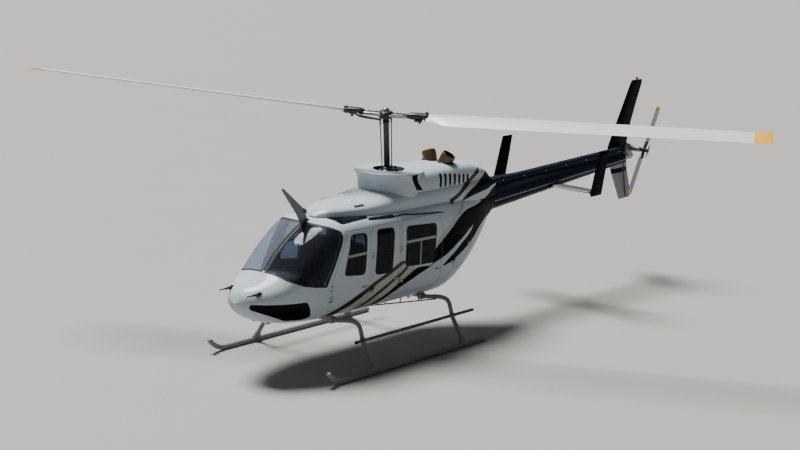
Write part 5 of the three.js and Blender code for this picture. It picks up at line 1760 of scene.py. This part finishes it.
def cockpit():
    hood = []
    for x, half, low, high in ((2186, 318, 1372, 1392), (2200, 335, 1368, 1400), (2300, 338, 1340, 1384),
            (2368, 322, 1320, 1360)):
        hood.append([(x, a, (low + high) / 2 + b) for a, b in softRing(half, (high - low) / 2, 40, 0.5, 0.6)])
    shapes = [loftOf(hood), softBox((2206, -322, 1150), (2366, 322, 1374), 26),
        softBox((2204, -90, 960), (2330, 90, 1160), 14), softBox((1952, -88, 901), (2206, 88, 1092), 16)]
    shapes.append(painted(softBox((2196, -312, 1168), (2208, 312, 1360), 4), 1))
    dials = []
    for row, z in enumerate((1316, 1226)):
        for k in range(6):
            y = -262 + k * 105
            size = 40 if (k + row) % 3 else 34
            ring = [(0.1, 0), (size, 0), (size, 6), (size - 5, 9), (size - 7, 4), (0.1, 4)]
            dials.append(latheOf(ring, (2197, y, z), 28, quarter(-1, "Y")))
            dials.append(painted(pegOf(size - 8, 4.2, 5, (2197, y, z), 28, quarter(-1, "Y"), 0), 1))
            angle = 0.7 + k * 0.9 + row
            tipY, tipZ = y + (size - 14) * math.cos(angle), z + (size - 14) * math.sin(angle)
            dials.append(painted(pipeOf([(2190.5, y, z), (2190.5, (y + tipY) / 2, (z + tipZ) / 2),
                (2190.5, tipY, tipZ)], [2.2, 1.6, 0.8], 6), 2))
    for k in range(5):
        for y in (-54, -18, 18, 54):
            x = 1975 + k * 46
            dials.append(painted(softBox((x - 12, y - 10, 1090), (x + 12, y + 10, 1098), 3),
                3 if (k + y) % 3 else 2))
    addPiece("instrument_panel_body", shapes, [darkPlastic, paintBlack], "black_paint", "instrument_panel")
    addPiece("instrument_dials", dials, [darkSteel, nearBlackSootAndShade, plainWhite, trimGrey], "black_trim")
    sticks = []
    for side in (1, -1):
        y = side * seats["crewY"]
        path = smoothPath([(1890, y, 905), (1850, y, 1040), (1812, y, 1180), (1830, y, 1290)], 7)
        sticks.append(pipeOf(path, 11, 12))
        sticks.append(painted(pipeOf(smoothPath([(1830, y, 1280), (1842, y, 1330), (1862, y, 1382)], 5),
            [15, 17, 18, 17, 16, 17, 18, 18, 17, 14, 10], 14), 1))
        lever = smoothPath([(1330, side * 96, 960), (1440, side * 92, 1010), (1580, side * 90, 1080)], 6)
        sticks.append(pipeOf(lever, 10, 12))
        grip = [(1570, side * 90, 1076), (1640, side * 90, 1112), (1690, side * 90, 1136)]
        sticks.append(painted(pipeOf(grip, 16, 14), 1))
        for pedal in (-80, 80):
            sticks.append(softBox((2060, y + pedal - 34, 925), (2078, y + pedal + 34, 1030), 6))
            sticks.append(pipeOf([(2072, y + pedal, 902), (2072, y + pedal, 935), (2070, y + pedal, 960)],
                8, 10))
    addPiece("flight_controls", sticks, [darkSteel, rubber], "black_trim")


# Small fittings on the outside

fittings = {
    "handles": [(1235, 1130, "left_crew_door", 1), (1235, 1130, "right_crew_door", -1),
        (520, 1130, "left_litter_door", 1), (-440, 1130, "left_passenger_door", 1),
        (-440, 1130, "right_passenger_door", -1), (-1350, 1380, "left_baggage_door", 1)],
    "landingLamp": 2690,
}


def onHull(x, z, side):
    ring = hullRing(x, 0, 1600)
    half = ring[ring[:, 1] * side >= 0]
    k = int(np.argmin(np.abs(half[:, 2] - z)))
    spot = half[k]
    other = hullRing(x + 5, 0, 1600)
    other = other[other[:, 1] * side >= 0]
    ahead = other[int(np.argmin(np.abs(other[:, 2] - z)))] - spot
    up = half[min(k + 4, len(half) - 1)] - half[max(k - 4, 0)]
    if up[2] < 0:
        up = -up
    up /= np.linalg.norm(up)
    ahead /= np.linalg.norm(ahead)
    outward = np.cross(ahead, up)
    if outward[1] * side < 0:
        outward = -outward
    return Vector(spot), Vector(ahead), Vector(up), Vector(outward)


def hullFrame(x, z, side):
    spot, ahead, _, outward = onHull(x, z, side)
    across = outward.cross(ahead).normalized()
    return Matrix.Translation(spot) @ Matrix((ahead, across, outward)).transposed().to_4x4()


def doorHandles():
    for x, z, body, side in fittings["handles"]:
        matrix = hullFrame(x, z, side)
        cup = [[(a, b, up) for a, b in softRing(length, height, 32, 0.4)]
            for length, height, up in ((52, 20, 0.4), (52, 20, 1.8), (49, 17, 2.4), (42, 12, 1.0))]
        shapes = [painted(loftOf(cup), 1)]
        bar = smoothPath([(-36, 0, 4), (-30, 0, 10), (0, 0, 13), (32, 0, 11), (42, 0, 9)], 5)
        shapes.append(pipeOf(bar, 6, 12, flat=0.7))
        shapes.append(latheOf([(0.1, 2), (9, 2), (9, 10), (6, 12), (0.1, 12)], (-38, 0, 0), 20))
        shapes.append(painted(latheOf([(0.1, 0.5), (8, 0.5), (8, 2), (0.1, 2.6)], (-72, 0, 0), 20), 2))
        handle = makeObject("handle_" + body, [moved(s, matrix) for s in shapes],
            [steel, paintSilver, darkSteel])
        mount(handle, body, "steel")


def hullTape(name, points, side, width, out, material, slotName):
    rings = []
    for x, z in points:
        spot, _, up, outward = onHull(x, z, side)
        ring = []
        for a, b in ((-0.5, -2), (-0.5, out * 0.5), (-0.3, out), (0.3, out), (0.5, out * 0.5), (0.5, -2)):
            ring.append(tuple(spot + up * (a * width) + outward * b))
        rings.append(ring)
    addPiece(name, [loftOf(rings)], [material], slotName)


def bellyPieces():
    lamp = []
    x = fittings["landingLamp"]
    for side in (1, -1):
        bottom = rowsBetween(hullTable, x)[1]
        turn = Matrix.Translation((x, side * 120, bottom + 38)) @ Matrix.Rotation(math.pi + 0.35, 4, "Y")
        cup = latheOf([(0.1, -6), (48, -6), (54, 0), (54, 40), (48, 48), (42, 45), (0.1, 40)], count=36)
        lens = latheOf([(0.1, 40), (42, 43), (36, 48), (20, 51), (0.1, 52)], count=36)
        lamp += [moved(cup, turn), painted(moved(lens, turn), 1)]
    addPiece("landing_lamps", lamp, [steel, lampClear], "glazing")
    start, end = Vector((-486, 618, 640)), Vector((560, 196, 640))
    rail = [pipeOf([start.lerp(end, u) for u in np.linspace(0, 1, 25)], 10, 12)]
    for x in (-200, 85, 325, 560):
        y = start.lerp(end, (x - start.x) / (end.x - start.x)).y
        ring = hullRing(x, 0, 1600)
        under = ring[(ring[:, 2] < 1000) & (ring[:, 1] > 0)]
        top = float(under[int(np.argmin(np.abs(under[:, 1] - y)))][2]) + 8
        rail.append(pipeOf([(x, y, 640), (x, y, top * 0.5 + 320), (x, y, top - 12), (x, y, top)],
            [8, 8, 8, 16], 10))
    addPiece("belly_aerial", rail, [darkSteel], "steel")
    blades = []
    for x, y, height in ((-560, 0, 150), (1250, 0, 120)):
        bottom = rowsBetween(hullTable, x)[1]
        rings = []
        for k, (z, chord) in enumerate(((bottom + 4, 150), (bottom - height * 0.5, 120),
                (bottom - height * 0.9, 90), (bottom - height, 60))):
            rings.append([(x + 60 - k * 22 - back, y + out, z) for back, out in foilOf(chord, 14, 8)])
        blades.append(loftOf(rings))
    addPiece("belly_blade_aerials", blades, [plainWhite], "white_paint")
    drains = []
    for x, y in ((-300, 180), (-420, -180), (1500, 200)):
        bottom = rowsBetween(hullTable, x)[1]
        drains.append(pipeOf([(x, y, bottom + 20), (x, y, bottom - 20), (x - 16, y, bottom - 44)], 6, 10))
    addPiece("belly_drains", drains, [darkSteel], "steel")


def sideFittings():
    matrix = hullFrame(-640, 1640, -1)
    cap = [latheOf([(0.1, -4), (62, -4), (62, 2), (56, 4.5), (0.1, 4.5)], count=40),
        painted(latheOf([(0.1, 4), (40, 4), (40, 8), (34, 11), (0.1, 12)], count=40), 1),
        painted(softBox((-30, -7, 10), (30, 7, 20), 4), 1)]
    addPiece("fuel_cap", [moved(s, matrix) for s in cap], [plainWhite, darkSteel], "steel")
    for label, side in bothSides:
        spot = (0, side * 265, 1250)
        tube = [(0.1, 2960), (16, 2960), (15.5, 3130), (11, 3150), (9.5, 3160), (9, 3246), (8, 3250),
            (0.1, 3250)]
        foot = [(0.1, 2980), (30, 2980), (30, 3052), (22, 3062), (17, 3080), (0.1, 3080)]
        pitot = [latheOf(profile, spot, 24, quarter(1, "Y")) for profile in (tube, foot)]
        addPiece("pitot_head_" + label, pitot, [darkSteel], "steel", "pitot_tube_" + label)
    strip = [(x, 0, rowsBetween(hullTable, x)[2] + 1) for x in np.arange(2640, 1900, -40)]
    addPiece("windscreen_post_strip", [pipeOf(strip, 9, 10, flat=1.3)], [rubber], "black_trim")
    # A thin dark strip along the roof edge above the doors: painted shade of the gap between roof and cabin
    # side.
    for label, side in bothSides:
        places = [(x, gutterHeight(x) + 6) for x in np.arange(1030, 500, -40)]
        hullTape("roof_edge_shade_strip_" + label, places, side, 58, 2.2, paintGapShade, "black_trim")


# Floor, light and the calls

studio = {"floor": (0.355, 0.345, 0.33), "floorSize": 400, "sky": 0.16, "sun": 7.4, "softness": 22,
    "sunAim": (1, 7, -13)}


def makeStage():
    size = studio["floorSize"]
    mesh = bpy.data.meshes.new("floor")
    mesh.from_pydata([(-size, -size, 0), (size, -size, 0), (size, size, 0), (-size, size, 0)], [],
        [(0, 1, 2, 3)])
    floor = bpy.data.objects.new("floor", mesh)
    bpy.context.scene.collection.objects.link(floor)
    material, tree, shader = startMaterial("floorFinish")
    place = node(tree, "TexCoord").outputs["Object"]
    cloud = node(tree, "TexNoise", {"Vector": place, "Scale": 0.6, "Detail": 5}).outputs[0]
    shade = mixColor(tree, cloud, studio["floor"], tuple(c * 0.965 for c in studio["floor"]))
    tree.links.new(shade, shader.inputs["Base Color"])
    shader.inputs["Roughness"].default_value = 0.75
    mesh.materials.append(material)

    world = bpy.data.worlds.new("studio")
    bpy.context.scene.world = world
    world.use_nodes = True
    tree = world.node_tree
    back = next(n for n in tree.nodes if n.type == "BACKGROUND")
    ray = node(tree, "SeparateXYZ", {0: node(tree, "TexCoord").outputs["Generated"]})
    ramp = node(tree, "ValToRGB", {0: value(tree, "MULTIPLY_ADD", ray.outputs[2], 0.5, 0.5)})
    ramp.color_ramp.elements[0].position, ramp.color_ramp.elements[0].color = 0.5, (0.20, 0.23, 0.28, 1)
    ramp.color_ramp.elements[1].position, ramp.color_ramp.elements[1].color = 0.9, (0.80, 0.86, 0.95, 1)
    tree.links.new(ramp.outputs[0], back.inputs[0])
    back.inputs[1].default_value = studio["sky"]

    key = bpy.data.lights.new("key", "SUN")
    key.energy, key.angle, key.color = studio["sun"], math.radians(studio["softness"]), (1.0, 0.985, 0.95)
    lamp = bpy.data.objects.new("key", key)
    bpy.context.scene.collection.objects.link(lamp)
    lamp.matrix_world = Vector(studio["sunAim"]).to_track_quat("-Z", "Y").to_matrix().to_4x4()


def stageOf(label, *steps):
    for step in steps:
        step()
    print(label)


stageOf("cabin skin done", cabinShell, aftShell)
stageOf("doors done", cabinDoors)
stageOf("glass done", cabinGlass)
stageOf("cowlings done", cowlings, louvreBlades, exhausts, wireCutter, roofDetails)
stageOf("tail done", tailBoom, tailGearbox, tailFin, tailplane, tailRotorPieces)
stageOf("landing gear done", landingGear)
stageOf("main rotor done", mainBlades, rotorHead, rotorMast, rotorControls)
stageOf("cabin inside done", cushions, cockpit)
stageOf("fittings done", doorHandles, bellyPieces, sideFittings)
stageOf("studio done", makeStage)

for nodeName in ("engine", "transmission"):
    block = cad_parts[nodeName]
    block.data.materials.clear()
    block.data.materials.append(castMetal)
